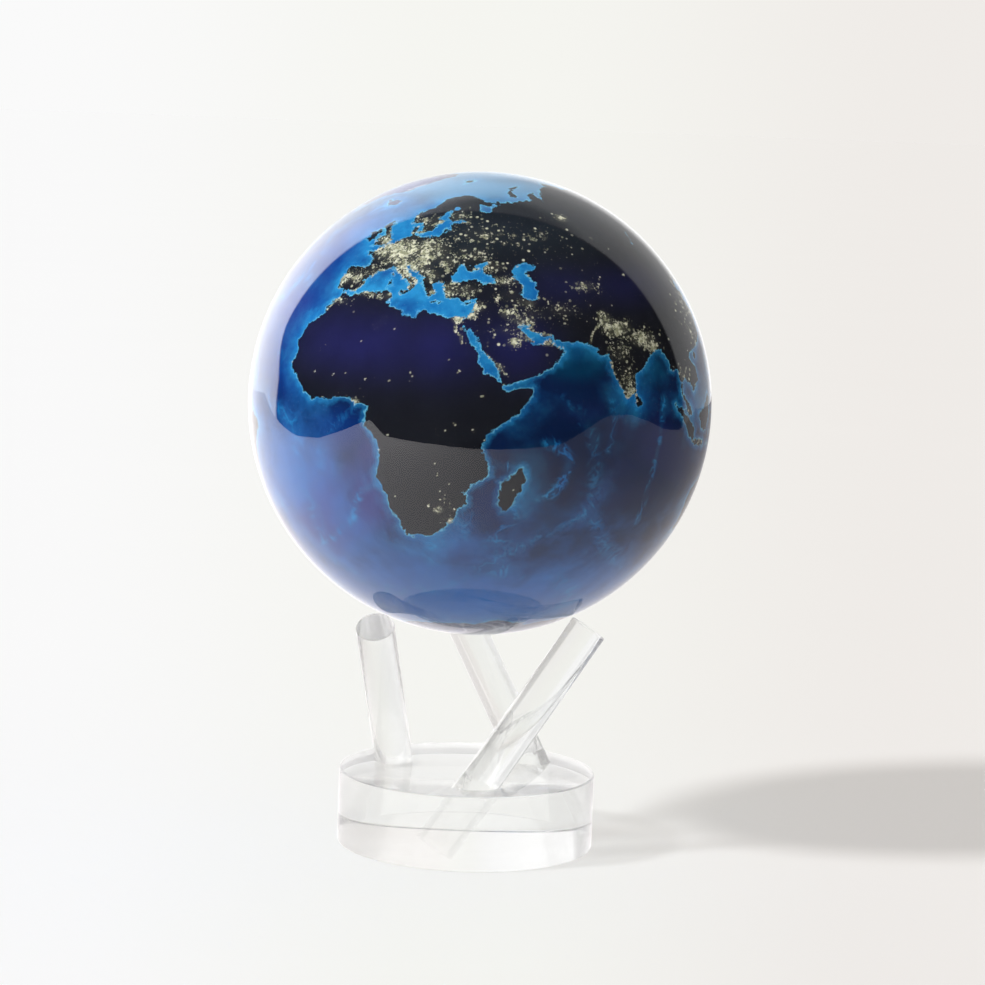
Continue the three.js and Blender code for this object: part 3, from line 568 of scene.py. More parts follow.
        (-89.0, 71.0), (-88.0, 73.5), (-78.0, 73.5), (-70.0, 70.8)],
    "ellesmere": [(-88, 77), (-78, 76.5), (-75, 79), (-62, 82.5), (-80, 83), (-92, 81.0)],
    "victoria": [(-117, 70), (-105, 68.9), (-101, 69.8), (-105, 73), (-118, 72.5)],
    "banks": [(-125, 72), (-120, 71.5), (-116, 73), (-124, 74.2)],
    "newfoundland": [(-59.3, 47.7), (-53.0, 46.8), (-53.5, 48.5), (-55.5, 51.6), (-57.5, 50.5)],
    "cuba": [(-84.9, 21.9), (-82.5, 23.0), (-79.5, 22.6), (-74.2, 20.2), (-77.6, 19.9), (-77.5, 20.8),
             (-82.0, 22.4)],
    "hispaniola": [(-74.4, 18.5), (-73.3, 19.9), (-69.9, 19.7), (-68.4, 18.5), (-71.4, 17.7)],
    "britain": [
        (-5.5, 50.1), (-3.5, 50.3), (0.0, 50.8), (1.4, 51.3), (0.6, 51.5), (1.7, 52.7), (0.3, 53.0),
        (-0.1, 54.0), (-1.5, 55.2), (-3.0, 56.0), (-2.0, 57.6), (-4.0, 57.7), (-3.2, 58.6), (-5.0, 58.5),
        (-6.0, 56.5), (-4.9, 55.3), (-3.3, 54.6), (-3.0, 53.5), (-4.5, 53.3), (-4.4, 52.3), (-5.2, 51.8),
        (-3.2, 51.4), (-4.5, 51.0)],
    "ireland": [(-6.3, 52.2), (-6.1, 53.5), (-5.6, 54.6), (-7.5, 55.3), (-8.5, 54.4), (-10.0, 54.0),
                (-9.2, 53.0), (-10.2, 52.0), (-8.5, 51.6)],
    "iceland": [(-22.5, 63.9), (-18.5, 63.4), (-14.0, 64.6), (-14.8, 66.0), (-18.0, 66.1), (-21.0, 65.5),
                (-23.5, 66.3), (-24.2, 65.5), (-22.0, 64.5)],
    "svalbard": [(11.5, 79.0), (15.0, 77.0), (20.0, 78.5), (26.0, 80.1), (16.0, 80.0)],
    "novaya_zemlya": [(52.0, 71.0), (57.0, 70.7), (56.0, 73.0), (60.0, 75.0), (68.5, 76.8), (60.0, 76.2),
                      (54.0, 73.3)],
    "sicily": [(12.5, 37.9), (15.5, 38.2), (15.1, 36.8), (12.8, 37.6)],
    "sardinia": [(8.3, 40.9), (9.7, 41.0), (9.6, 39.2), (8.4, 39.0)],
    "corsica": [(8.7, 42.5), (9.5, 42.9), (9.3, 41.5), (8.7, 41.7)],
    "crete": [(23.6, 35.5), (26.2, 35.2), (25.0, 34.95)],
    "cyprus": [(32.3, 35.0), (34.5, 35.6), (33.8, 34.9), (33.0, 34.6)],
    "zealand": [(11.0, 55.7), (12.6, 56.1), (12.3, 55.0), (11.2, 55.1)],
    "madagascar": [(49.3, -12.0), (50.4, -15.8), (49.4, -18.2), (47.2, -24.8), (45.2, -25.5), (43.7, -23.5),
                   (44.3, -20.0), (44.0, -17.0), (46.3, -15.7), (48.0, -13.5)],
    "sri_lanka": [(79.9, 9.6), (81.2, 8.5), (81.8, 7.0), (80.6, 5.9), (79.9, 7.0)],
    "sumatra": [(95.3, 5.6), (98.0, 4.2), (100.4, 2.4), (103.5, -0.5), (106.0, -3.0), (105.8, -5.8),
                (104.5, -5.8), (102.2, -3.8), (100.3, -0.9), (98.7, 1.7), (96.2, 3.8)],
    "java": [(105.2, -6.8), (106.8, -6.0), (110.9, -6.4), (112.7, -6.9), (114.5, -8.0), (114.4, -8.7),
             (110.0, -8.0), (106.5, -7.4)],
    "lesser_sunda": [(115.0, -8.4), (119.0, -8.3), (123.0, -8.4), (119.0, -9.0)],
    "timor": [(123.5, -10.3), (125.0, -8.8), (127.3, -8.4), (125.5, -9.6)],
    "borneo": [(109.0, 1.5), (111.3, 2.6), (113.0, 3.2), (116.7, 7.0), (119.2, 5.3), (117.6, 3.5),
               (118.9, 1.0), (116.4, -2.5), (116.2, -4.0), (114.0, -3.5), (111.5, -3.3), (110.0, -1.5)],
    "sulawesi": [(119.8, 0.5), (121.0, 1.3), (124.9, 1.6), (124.0, 0.4), (120.4, 0.3), (121.5, -1.0),
                 (123.3, -1.0), (121.6, -2.0), (122.6, -4.8), (120.8, -3.0), (120.4, -5.5), (119.5, -3.5)],
    "new_guinea": [(131.0, -0.8), (134.0, -0.9), (135.0, -3.3), (138.0, -1.7), (141.0, -2.6), (145.8, -5.0),
                   (147.8, -6.5), (150.8, -10.4), (147.0, -9.6), (144.0, -7.7), (141.0, -9.1),
                   (138.0, -8.3), (137.8, -5.3), (133.0, -4.0), (132.5, -2.7)],
    "luzon": [(120.6, 18.5), (122.2, 18.3), (121.6, 15.8), (124.0, 12.6), (120.6, 13.9), (120.2, 16.1)],
    "mindanao": [(125.4, 9.7), (126.5, 7.3), (125.4, 5.7), (122.0, 7.0), (123.7, 8.6)],
    "taiwan": [(121.0, 25.2), (121.9, 25.0), (120.9, 22.0), (120.1, 23.2)],
    "hainan": [(109.2, 20.0), (111.0, 20.0), (110.0, 18.4), (108.7, 18.8)],
    "honshu": [(130.0, 33.5), (131.0, 34.4), (133.0, 35.5), (136.0, 35.7), (137.0, 37.5), (139.5, 38.5),
               (140.0, 40.6), (141.3, 41.4), (142.0, 39.6), (141.0, 38.2), (140.8, 35.7), (138.8, 34.8),
               (136.8, 34.3), (135.7, 33.5), (135.1, 34.6), (132.5, 34.2), (131.9, 33.2), (131.4, 31.4),
               (130.2, 31.2)],
    "hokkaido": [(140.2, 42.0), (141.9, 45.5), (145.5, 43.4), (143.2, 42.0), (141.0, 42.5)],
    "sakhalin": [(142.5, 54.3), (143.5, 52.0), (143.0, 49.2), (142.8, 46.0), (142.0, 46.7), (142.2, 50.5)],
    "tasmania": [(144.7, -40.8), (148.3, -40.9), (147.9, -43.2), (146.0, -43.5)],
    "new_zealand_north": [(172.8, -34.5), (175.5, -36.8), (178.4, -37.7), (176.9, -39.7), (175.3, -41.5),
                          (174.8, -39.8), (173.8, -39.3), (174.8, -37.5)],
    "new_zealand_south": [(172.8, -40.6), (174.2, -41.7), (172.8, -43.7), (170.7, -45.9), (168.4, -46.6),
                          (166.6, -45.9), (168.5, -44.0), (171.2, -42.4)],
}

INLAND_WATER = {
    "black_sea": [
        (29.1, 41.25), (31.4, 41.3), (33.3, 42.0), (35.1, 42.0), (36.4, 41.3), (38.4, 40.95), (41.5, 41.4),
        (41.4, 42.7), (39.8, 43.5), (37.4, 44.7), (37.2, 45.3), (38.3, 46.4), (39.2, 47.1), (36.8, 46.7),
        (35.1, 46.2), (35.0, 45.5), (36.5, 45.3), (35.4, 45.0), (33.8, 44.4), (32.6, 45.4), (33.4, 46.0),
        (30.9, 46.5), (29.7, 45.2), (28.6, 43.9), (27.7, 42.6), (28.1, 41.6)],
    "caspian": [
        (47.2, 45.6), (48.6, 46.8), (51.0, 47.4), (53.6, 47.2), (54.2, 45.6), (52.4, 44.8), (50.8, 44.5),
        (51.6, 43.2), (52.8, 42.2), (54.2, 41.6), (53.4, 40.2), (54.0, 39.2), (54.2, 37.2), (52.0, 36.7),
        (50.0, 37.4), (48.9, 38.4), (49.3, 39.4), (49.8, 40.4), (48.4, 41.9), (47.3, 43.0), (46.6, 44.6)],
    "baikal": [(104.0, 51.5), (107.0, 52.3), (110.0, 55.5), (108.0, 53.5)],
    "superior": [(-92.0, 46.8), (-88.5, 48.6), (-84.8, 46.8), (-88.0, 46.9)],
    "michigan": [(-87.8, 42.0), (-87.8, 44.5), (-85.5, 45.9), (-86.4, 43.5)],
    "huron": [(-84.0, 45.9), (-81.0, 45.8), (-81.5, 43.3), (-83.4, 44.2)],
    "erie": [(-83.2, 41.7), (-79.0, 42.8), (-81.0, 42.7)],
    "winnipeg": [(-98.8, 53.8), (-96.3, 50.6), (-97.6, 52.8)],
    "great_bear": [(-124.5, 66.3), (-118.0, 66.5), (-121.0, 65.2)],
    "great_slave": [(-117.0, 61.0), (-109.5, 62.7), (-113.5, 61.8)],
}

# Rises of the sea floor: strength, half-width in degrees, and the line that they follow.
RIDGES = [
    (0.75, 1.3, [(55.5, -4.6), (59.0, -6.5), (61.3, -10.0), (60.6, -14.5), (59.0, -18.5), (57.6, -20.3)]),
    (0.60, 0.9, [(54.5, -21.3), (57.6, -20.3)]),
    (0.25, 0.9, [(72.0, 13.0), (73.0, 4.0), (73.2, -1.0), (71.8, -7.0)]),
    (0.40, 0.9, [(90.2, 8.0), (88.6, -8.0), (87.8, -20.0), (88.0, -30.0)]),
    (0.20, 1.6, [(57.5, 9.5), (63.0, 4.0), (67.0, -3.0), (68.5, -12.0), (69.5, -24.0)]),
    (0.26, 1.8, [(69.5, -25.0), (60.0, -31.0), (50.0, -38.0), (38.0, -46.0), (26.0, -52.5), (8.0, -54.5)]),
    (0.35, 2.0, [(69.5, -25.0), (78.0, -37.0), (90.0, -43.0), (110.0, -49.5), (140.0, -51.0),
                 (160.0, -59.0)]),
    (0.55, 1.0, [(11.5, -19.5), (7.0, -22.5), (5.0, -26.0), (2.5, -31.0), (-3.0, -35.0), (-9.0, -38.5)]),
    (0.50, 2.6, [(46.5, -26.5), (45.5, -31.0), (44.0, -36.0)]),
    (0.35, 1.2, [(36.0, -27.0), (35.5, -34.0)]),
    (0.40, 2.4, [(26.5, -37.5), (26.0, -41.0)]),
    (0.45, 3.0, [(69.5, -48.5), (75.0, -53.5), (81.0, -58.0)]),
    (0.35, 2.6, [(44.0, -44.5), (53.0, -46.0)]),
    (0.40, 2.2, [(-18.0, 66.0), (-27.0, 58.0), (-34.0, 52.0), (-28.0, 43.0), (-32.0, 36.0), (-44.0, 26.0),
                 (-45.0, 15.0), (-36.0, 5.0), (-22.0, 0.0), (-13.0, -4.0), (-13.5, -18.0), (-12.5, -32.0),
                 (-15.0, -45.0), (-4.0, -53.5), (8.0, -54.5)]),
    (0.40, 1.5, [(-16.0, 28.2), (-13.5, 29.0)]),
    (0.40, 1.6, [(-24.5, 16.3), (-22.8, 15.6)]),
    (0.35, 1.6, [(-28.0, 38.6), (-25.0, 37.4)]),
    (0.35, 3.0, [(-36.0, -31.0), (-31.0, -30.0)]),
    (0.18, 1.5, [(5.5, 2.5), (1.5, -1.5), (-4.0, -7.0), (-5.7, -15.9)]),
    (0.45, 1.2, [(43.3, -11.6), (44.5, -12.4), (46.5, -11.8)]),
    (0.40, 2.6, [(-107.0, 20.0), (-104.0, 5.0), (-108.0, -10.0), (-112.0, -28.0), (-112.0, -45.0),
                 (-130.0, -56.0), (-155.0, -63.0)]),
    (0.30, 1.4, [(-81.5, -15.0), (-87.0, -24.0), (-100.0, -26.0)]),
    (0.45, 1.2, [(-155.5, 19.5), (-160.0, 22.0), (-170.0, 25.5), (-180.0, 30.0), (-189.0, 36.0),
                 (-192.0, 47.0)]),
    (0.45, 1.4, [(173.0, -36.0), (178.0, -30.0), (182.0, -22.0), (184.5, -16.0)]),
    (0.40, 1.6, [(160.0, -28.0), (161.5, -36.0), (168.0, -44.0)]),
    (0.40, 1.3, [(140.5, 34.0), (142.0, 26.0), (145.5, 18.0), (144.5, 13.0)]),
    (0.35, 2.0, [(-8.0, 72.0), (3.0, 79.0), (40.0, 85.0), (90.0, 84.0)]),
    (0.40, 1.6, [(-70.0, 18.0), (-64.0, 18.0), (-61.5, 15.0), (-61.5, 11.5)]),
    (0.35, 2.4, [(-57.0, -52.0), (-45.0, -54.0), (-36.0, -54.5), (-27.0, -58.0), (-45.0, -60.5)]),
]

# City light: strength, reach in degrees, then the places.
CITIES = [
    (1.00, 0.75, [(37.6, 55.7), (2.3, 48.8), (-0.1, 51.5), (77.2, 28.6), (31.2, 30.1), (28.1, -26.1),
                  (139.7, 35.7), (121.4, 31.2), (116.4, 39.9), (-74.0, 40.7), (-87.7, 41.8),
                  (-118.2, 34.0), (-46.6, -23.5), (-58.4, -34.6), (-99.1, 19.4), (126.9, 37.5),
                  (113.6, 22.8), (106.8, -6.3), (100.5, 13.8), (72.9, 19.1), (88.4, 22.6), (51.4, 35.7),
                  (29.0, 41.1), (-3.7, 40.4), (135.4, 34.7), (151.1, -33.8), (144.9, -37.8)]),
    (0.85, 0.50, [(30.3, 59.9), (30.5, 50.4), (44.4, 33.3), (46.7, 24.7), (39.2, 21.5), (39.6, 24.4),
                  (48.0, 29.3), (50.1, 26.4), (55.3, 25.2), (51.5, 25.3), (54.5, 24.4), (58.4, 23.5),
                  (44.2, 15.4), (42.7, 18.1), (67.0, 24.9), (74.3, 31.5), (73.0, 33.6), (77.6, 13.0),
                  (80.2, 13.1), (78.5, 17.4), (72.6, 23.0), (90.4, 23.8), (69.3, 41.3), (76.9, 43.2),
                  (60.6, 56.8), (61.4, 55.2), (82.9, 55.0), (56.0, 54.8), (50.1, 53.2), (49.1, 55.8),
                  (44.0, 56.3), (39.7, 47.2), (45.0, 53.2), (37.5, 48.0), (35.0, 48.5), (36.2, 50.0),
                  (27.6, 53.9), (24.1, 56.9), (24.9, 60.2), (18.1, 59.3), (10.7, 59.9), (12.6, 55.7),
                  (23.7, 38.0), (26.1, 44.4), (32.9, 39.9), (49.9, 40.4), (44.8, 41.7), (36.3, 33.5),
                  (35.2, 31.9), (34.9, 32.1), (35.5, 33.9), (13.2, 32.9), (10.2, 36.8), (3.1, 36.7),
                  (-7.6, 33.5), (-9.1, 38.7), (2.2, 41.4), (-17.4, 14.7), (3.4, 6.5), (7.0, 4.9),
                  (6.4, 5.3), (13.2, -8.8), (15.3, -4.3), (36.8, -1.3), (31.0, -29.9), (18.5, -33.9),
                  (25.6, -33.9), (27.9, -33.0), (32.6, -25.9), (28.3, -15.4), (28.6, -20.1), (31.0, -17.8),
                  (47.5, -18.9), (38.7, 9.0), (32.5, 15.6), (32.6, 0.3), (8.5, 12.0), (7.4, 9.1),
                  (-0.2, 5.6), (-4.0, 5.3), (-8.0, 12.6), (-1.5, 12.4), (15.0, 12.1), (20.5, 15.0),
                  (79.9, 6.9), (96.2, 16.8), (101.7, 3.1), (103.8, 1.4), (106.7, 10.8), (105.8, 21.0),
                  (121.0, 14.6), (121.5, 25.0), (114.3, 30.6), (104.1, 30.7), (106.5, 29.6),
                  (108.9, 34.3), (123.4, 41.8), (126.6, 45.8), (117.2, 39.1), (120.4, 36.1), (87.6, 43.8),
                  (-75.1, 39.9), (-77.0, 38.9), (-71.1, 42.3), (-79.4, 43.7), (-83.1, 42.3), (-73.6, 45.5),
                  (-84.4, 33.8), (-80.2, 25.9), (-95.4, 29.8), (-96.8, 32.8), (-112.0, 33.5),
                  (-122.3, 37.6), (-122.3, 47.5), (-104.9, 39.7), (-93.3, 45.0), (-90.2, 38.6),
                  (-115.1, 36.2), (-123.1, 49.2), (-114.1, 51.0), (-100.3, 25.7), (-103.3, 20.7),
                  (-66.9, 10.5), (-74.1, 4.7), (-77.0, -12.1), (-70.7, -33.4), (-43.2, -22.9),
                  (-47.9, -15.8), (-38.5, -12.9), (-34.9, -8.1), (-49.3, -25.4), (-51.2, -30.0),
                  (115.9, -32.0), (153.0, -27.5), (138.6, -34.9), (174.8, -36.9), (140.9, 38.3),
                  (130.4, 33.6), (141.4, 43.1), (129.0, 35.2), (112.7, -7.3), (110.4, -7.0)]),
]

# Single lit points in dark country.
LONE_TOWNS = [
    (36.8, -1.3), (32.6, 0.3), (32.5, 15.6), (38.7, 9.0), (15.3, -4.3), (28.3, -15.4), (31.0, -17.8),
    (-8.0, 12.6), (-1.5, 12.4), (2.1, 13.5), (8.5, 12.0), (15.0, 12.1), (13.2, -8.8), (47.5, -18.9),
    (28.6, -20.1), (25.9, -24.7), (17.1, -22.6), (-17.3, 14.7), (20.8, 13.8), (39.3, -6.8), (30.1, -1.9),
    (27.5, -11.7), (32.9, 24.1), (30.2, 19.2), (14.4, 27.0), (5.5, 22.8), (39.7, -4.0), (44.0, 12.8),
]

# Wide lit regions: strength, reach across and up in degrees, and their middles.
LIT_REGIONS = [
    (0.95, 9.0, 5.0, [(8.0, 49.5)]),
    (0.85, 7.0, 5.0, [(18.0, 50.0), (14.0, 45.0)]),
    (0.80, 3.6, 3.0, [(-1.8, 52.6), (11.0, 45.0), (-8.2, 40.0), (26.5, 38.6), (12.5, 42.0)]),
    (0.66, 3.6, 3.6, [(-3.5, 40.5), (22.0, 42.5), (24.5, 38.4), (26.0, 47.0), (15.5, 40.5), (2.0, 42.0)]),
    (0.60, 5.5, 3.4, [(12.0, 58.5), (24.5, 62.0), (10.0, 55.5), (18.0, 60.0)]),
    (0.48, 10.0, 6.0, [(33.0, 49.5), (35.0, 56.0)]),
    (0.36, 12.0, 6.0, [(46.0, 54.5), (57.0, 56.0)]),
    (0.62, 5.0, 2.6, [(33.0, 39.0), (44.5, 42.0), (70.0, 40.8), (40.0, 46.0), (50.0, 36.0), (29.0, 38.5)]),
    (1.00, 5.5, 3.0, [(77.0, 28.8), (85.0, 25.6)]),
    (0.60, 5.0, 5.5, [(76.5, 22.0), (77.8, 14.5)]),
    (0.95, 2.6, 2.8, [(73.4, 31.4), (77.8, 10.2), (88.8, 23.4)]),
    (0.80, 2.6, 2.2, [(46.5, 24.8), (42.0, 17.2), (44.8, 32.8), (50.5, 30.6), (48.0, 31.0), (36.5, 34.5)]),
    (0.90, 1.8, 1.5, [(31.0, 30.9), (35.2, 32.2), (28.3, -26.2), (50.3, 26.2), (6.0, 5.0), (55.0, 25.0)]),
    (0.62, 5.0, 1.7, [(3.0, 36.2), (-6.5, 33.4), (10.0, 35.8)]),
    (0.44, 3.4, 2.6, [(29.0, -24.8), (30.8, -28.8)]),
    (0.90, 2.0, 2.0, [(75.0, 62.0)]),
    (0.50, 8.0, 4.0, [(60.0, 34.0), (52.0, 33.0), (46.0, 28.0), (46.0, 38.0)]),
    (0.62, 6.5, 5.0, [(117.0, 34.0), (137.5, 35.8)]),
    (0.50, 6.0, 4.0, [(112.0, 26.0), (124.5, 43.5), (101.0, 14.5)]),
    (0.44, 5.0, 1.8, [(110.0, -7.2), (128.0, 36.5)]),
    (0.66, 7.0, 4.5, [(-78.0, 40.5), (-86.0, 40.5)]),
    (0.55, 8.0, 5.0, [(-84.0, 34.0), (-95.0, 36.0)]),
    (0.50, 3.0, 3.5, [(-121.0, 37.5), (-122.0, 47.0), (-118.0, 34.5), (-82.0, 28.0)]),
    (0.48, 4.5, 3.0, [(-100.5, 20.5), (-47.5, -22.5), (-59.5, -34.0)]),
    (0.40, 4.0, 5.0, [(-37.5, -8.5), (-51.5, -28.5), (-71.0, -34.0), (-74.5, 6.5), (-67.0, 10.0)]),
]

# Thin lit lines: half-width in degrees and the line.
LIT_LINES = [
    (0.34, [(31.2, 30.6), (31.0, 29.0), (30.8, 28.0), (31.6, 26.8), (32.7, 26.0), (32.6, 25.2),
            (33.0, 24.0)]),
    (0.30, [(32.3, 31.2), (32.5, 30.0)]),
    (0.28, [(67.5, 24.8), (68.5, 27.5), (70.8, 29.6), (73.5, 31.5)]),
    (0.26, [(39.2, 21.5), (41.6, 19.0), (42.8, 17.0)]),
    (0.30, [(34.3, 31.3), (35.1, 33.2), (35.9, 35.4)]),
    (0.26, [(-5.6, 36.1), (-2.0, 36.8), (-0.5, 38.0), (0.2, 39.8), (2.4, 41.5), (3.2, 43.0), (7.4, 43.7)]),
    (0.24, [(9.6, 44.2), (12.2, 41.8), (14.5, 40.7), (16.0, 38.6)]),
    (0.24, [(12.6, 44.4), (14.0, 42.6), (16.6, 41.2), (18.2, 40.2)]),
    (0.22, [(-6.8, 34.1), (-9.6, 30.4)]),
    (0.22, [(-1.0, 35.8), (3.0, 36.8), (7.8, 36.9), (10.4, 36.8), (10.8, 34.6)]),
    (0.24, [(48.4, 30.2), (50.6, 28.8), (52.6, 27.4), (56.3, 27.1)]),
    (0.24, [(48.1, 29.2), (50.0, 26.6), (51.5, 25.3), (54.3, 24.3), (56.4, 25.2), (58.4, 23.6)]),
    (0.24, [(72.8, 19.0), (74.0, 15.0), (75.6, 11.5), (77.3, 8.3)]),
    (0.22, [(80.2, 13.1), (79.9, 10.8), (78.2, 9.0)]),
]

# Soft oval patches of the seas' and lands' tones: strength, reach across and up in degrees, middle.
SHALLOW_SEAS = [
    (0.80, 17.0, 4.5, (16.0, 37.5)), (0.80, 5.0, 2.6, (28.0, 34.0)), (0.9, 5.0, 2.6, (34.5, 43.5)),
    (0.9, 3.6, 6.0, (51.0, 42.0)), (0.8, 4.5, 4.0, (3.5, 56.0)), (0.8, 5.0, 6.0, (20.0, 60.0)),
    (0.35, 2.5, 8.0, (38.5, 20.5)), (0.5, 4.5, 2.4, (52.0, 27.0)), (0.30, 4.0, 3.0, (-6.0, 48.0)),
    (0.5, 5.0, 5.0, (107.0, 4.0)), (0.5, 9.0, 6.0, (122.0, 33.0)), (0.5, 10.0, 5.0, (-84.0, 58.0)),
    (0.35, 8.0, 3.0, (-79.0, 24.5)), (0.5, 9.0, 5.0, (133.0, -11.0)),
]
PALE_SEAS = [
    (0.95, 95.0, 24.0, (10.0, -60.0)), (0.90, 26.0, 34.0, (-14.0, -32.0)), (0.66, 26.0, 14.0, (36.0, -38.0)),
    (0.42, 24.0, 16.0, (74.0, -34.0)), (0.25, 20.0, 16.0, (-25.0, 30.0)), (0.50, 70.0, 22.0, (-140.0, -42.0)),
    (0.30, 60.0, 20.0, (-160.0, 25.0)), (0.45, 30.0, 14.0, (150.0, -45.0)), (0.6, 14.0, 12.0, (-12.0, 55.0)),
]
BLUE_SEAS = [
    (1.0, 24.0, 30.0, (-22.0, 30.0)), (0.5, 14.0, 10.0, (2.0, -4.0)), (0.5, 50.0, 30.0, (-150.0, 10.0)),
    (0.4, 12.0, 12.0, (45.0, -24.0)), (0.9, 30.0, 14.0, (18.0, 36.0)),
]
TEAL_SEAS = [
    (1.0, 11.0, 6.5, (63.0, 20.0)), (0.7, 7.0, 7.0, (88.0, 17.0)), (0.3, 8.0, 6.0, (62.0, 9.0)),
]
ARCTIC_SEAS = [
    (0.95, 60.0, 8.5, (15.0, 76.0)), (0.95, 900.0, 16.0, (0.0, 89.0)),
]
DRY_LANDS = [
    (0.78, 24.0, 10.0, (6.0, 22.5)), (0.72, 13.0, 10.0, (27.0, 22.5)), (0.70, 10.0, 9.0, (46.0, 23.5)),
    (0.35, 12.0, 6.0, (62.0, 41.0)), (0.45, 14.0, 6.0, (88.0, 41.0)), (0.5, 11.0, 6.0, (127.0, -24.5)),
    (0.3, 5.0, 6.0, (-112.0, 34.0)), (0.3, 3.0, 8.0, (-69.5, -23.0)),
]
COOL_LANDS = [
    (1.0, 30.0, 9.0, (38.0, 57.0)), (0.8, 16.0, 7.0, (12.0, 48.0)), (0.8, 60.0, 10.0, (100.0, 64.0)),
    (0.8, 40.0, 12.0, (-98.0, 58.0)),
]
ICE_LANDS = [
    (1.0, 8.5, 11.0, (-42.0, 73.0)), (1.0, 400.0, 22.0, (0.0, -88.0)), (0.6, 5.0, 3.0, (-19.0, 65.0)),
]


def printed_latitude(latitude):
    """The print squeezes the map towards the equator."""
    angle = np.radians(latitude)
    return latitude - 5.1 * np.sin(2 * angle) - 0.3 * np.sin(4 * angle)


def unit(longitude, latitude):
    """The direction of a place on a true globe."""
    east, north = np.broadcast_arrays(np.radians(longitude), np.radians(latitude))
    return np.stack([np.cos(north) * np.cos(east), np.cos(north) * np.sin(east), np.sin(north)], -1)


GRID_LONGITUDE = np.arange(COLUMNS) * 360 / COLUMNS - 180
GRID_LATITUDE = np.linspace(-90, 90, ROWS + 1)
GRID = unit(GRID_LONGITUDE[None, :], GRID_LATITUDE[:, None])


def window(low, high, reach):
    """The grid's rows and columns within reach of a box given by its low and high corners."""
    rows = np.nonzero((GRID_LATITUDE >= low[1] - reach) & (GRID_LATITUDE <= high[1] + reach))[0]
    steepest = min(max(abs(low[1] - reach), abs(high[1] + reach)), 90)
    widen = reach / max(math.cos(math.radians(steepest)), 0.04)
    if high[0] - low[0] + 2 * widen >= 360:
        return rows, np.arange(COLUMNS)
    step = 360 / COLUMNS
    first = math.floor((low[0] - widen + 180) / step)
    last = math.ceil((high[0] + widen + 180) / step)
    return rows, np.unique(np.arange(first, last + 1) % COLUMNS)


def line_distance(line, reach):
    """Yields rows, columns and the distance in degrees from each stretch of a line."""
    for start, end in zip(line, line[1:]):
        long_way = max(abs(end[0] - start[0]), abs(end[1] - start[1]))
        pieces = max(1, math.ceil(long_way / 4))
        stops = [(start[0] + (end[0] - start[0]) * k / pieces, start[1] + (end[1] - start[1]) * k / pieces)
                 for k in range(pieces + 1)]
        for a, b in zip(stops, stops[1:]):
            low = (min(a[0], b[0]), min(a[1], b[1]))
            high = (max(a[0], b[0]), max(a[1], b[1]))
            rows, columns = window(low, high, reach)
            here = GRID[np.ix_(rows, columns)]
            first, last = unit(*a), unit(*b)
            along = last - first
            share = np.clip((here - first) @ along / max(along @ along, 1e-12), 0, 1)
            gap = np.linalg.norm(here - (first + share[..., None] * along), axis=-1)
            yield rows, columns, np.degrees(gap)


def inside(outline):
    """Which grid points an outline holds."""
    held = np.zeros((ROWS + 1, COLUMNS), bool)
    edges = list(zip(outline, outline[1:] + outline[:1]))
    for row, latitude in enumerate(GRID_LATITUDE):
        crossings = sorted(
            a[0] + (b[0] - a[0]) * (latitude - a[1]) / (b[1] - a[1])
            for a, b in edges if (a[1] > latitude) != (b[1] > latitude))
        for west, east in zip(crossings[::2], crossings[1::2]):
            held[row] |= (GRID_LONGITUDE - west) % 360 < east - west
    return held


def map_frame_edge(a, b):
    """Whether an edge only closes an outline round the pole."""
    return (abs(a[0]) == 180 and abs(b[0]) == 180) or min(a[1], b[1]) == -90


def coast_field():
    """The distance to the nearest coast in degrees, above zero on land."""
    distance = np.full((ROWS + 1, COLUMNS), COAST_REACH)
    land = np.zeros_like(distance, bool)
    for outline in LAND.values():
        land |= inside(outline)
    for outline in INLAND_WATER.values():
        land &= ~inside(outline)
    for outline in list(LAND.values()) + list(INLAND_WATER.values()):
        for a, b in zip(outline, outline[1:] + outline[:1]):
            if map_frame_edge(a, b):
                continue
            for rows, columns, gap in line_distance([a, b], COAST_REACH):
                patch = np.ix_(rows, columns)
                distance[patch] = np.minimum(distance[patch], gap)
    hide_shared_borders(distance, land)
    return np.where(land, distance, -distance)


def hide_shared_borders(distance, land):
    """Where two outlines touch on dry land, their common border is not a coast."""
    for line in SHARED_BORDERS:
        for rows, columns, gap in line_distance(line, 1.0):
            patch = np.ix_(rows, columns)
            near = (gap < 0.9) & land[patch]
            distance[patch] = np.where(near, np.maximum(distance[patch], 0.5), distance[patch])


def ridge_field():
    """The rises of the sea floor, strongest along their lines."""
    field = np.zeros((ROWS + 1, COLUMNS))
    for strength, width, line in RIDGES:
        for rows, columns, gap in line_distance(line, 3 * width):
            patch = np.ix_(rows, columns)
            field[patch] = np.maximum(field[patch], strength * np.exp(-(gap / width) ** 2))
    return field


def patches_field(patches):
    """The strongest of several soft oval patches (strength, across, up, middle) at each point."""
    field = np.zeros((ROWS + 1, COLUMNS))
    for strength, across, up, middle in patches:
        east = (GRID_LONGITUDE - middle[0] + 180) % 360 - 180
        narrowing = math.cos(math.radians(middle[1]))
        span = np.hypot(east[None, :] * narrowing / across, (GRID_LATITUDE[:, None] - middle[1]) / up)
        field = np.maximum(field, strength * np.exp(-span ** 2))
    return field


def town_field():
    """One lit point for each lone town in dark country."""
    field = np.zeros((ROWS + 1, COLUMNS))
    for longitude, latitude in LONE_TOWNS:
        row = round((latitude + 90) * ROWS / 180)
        column = round((longitude + 180) * COLUMNS / 360) % COLUMNS
        field[row, column] = 1
    return field


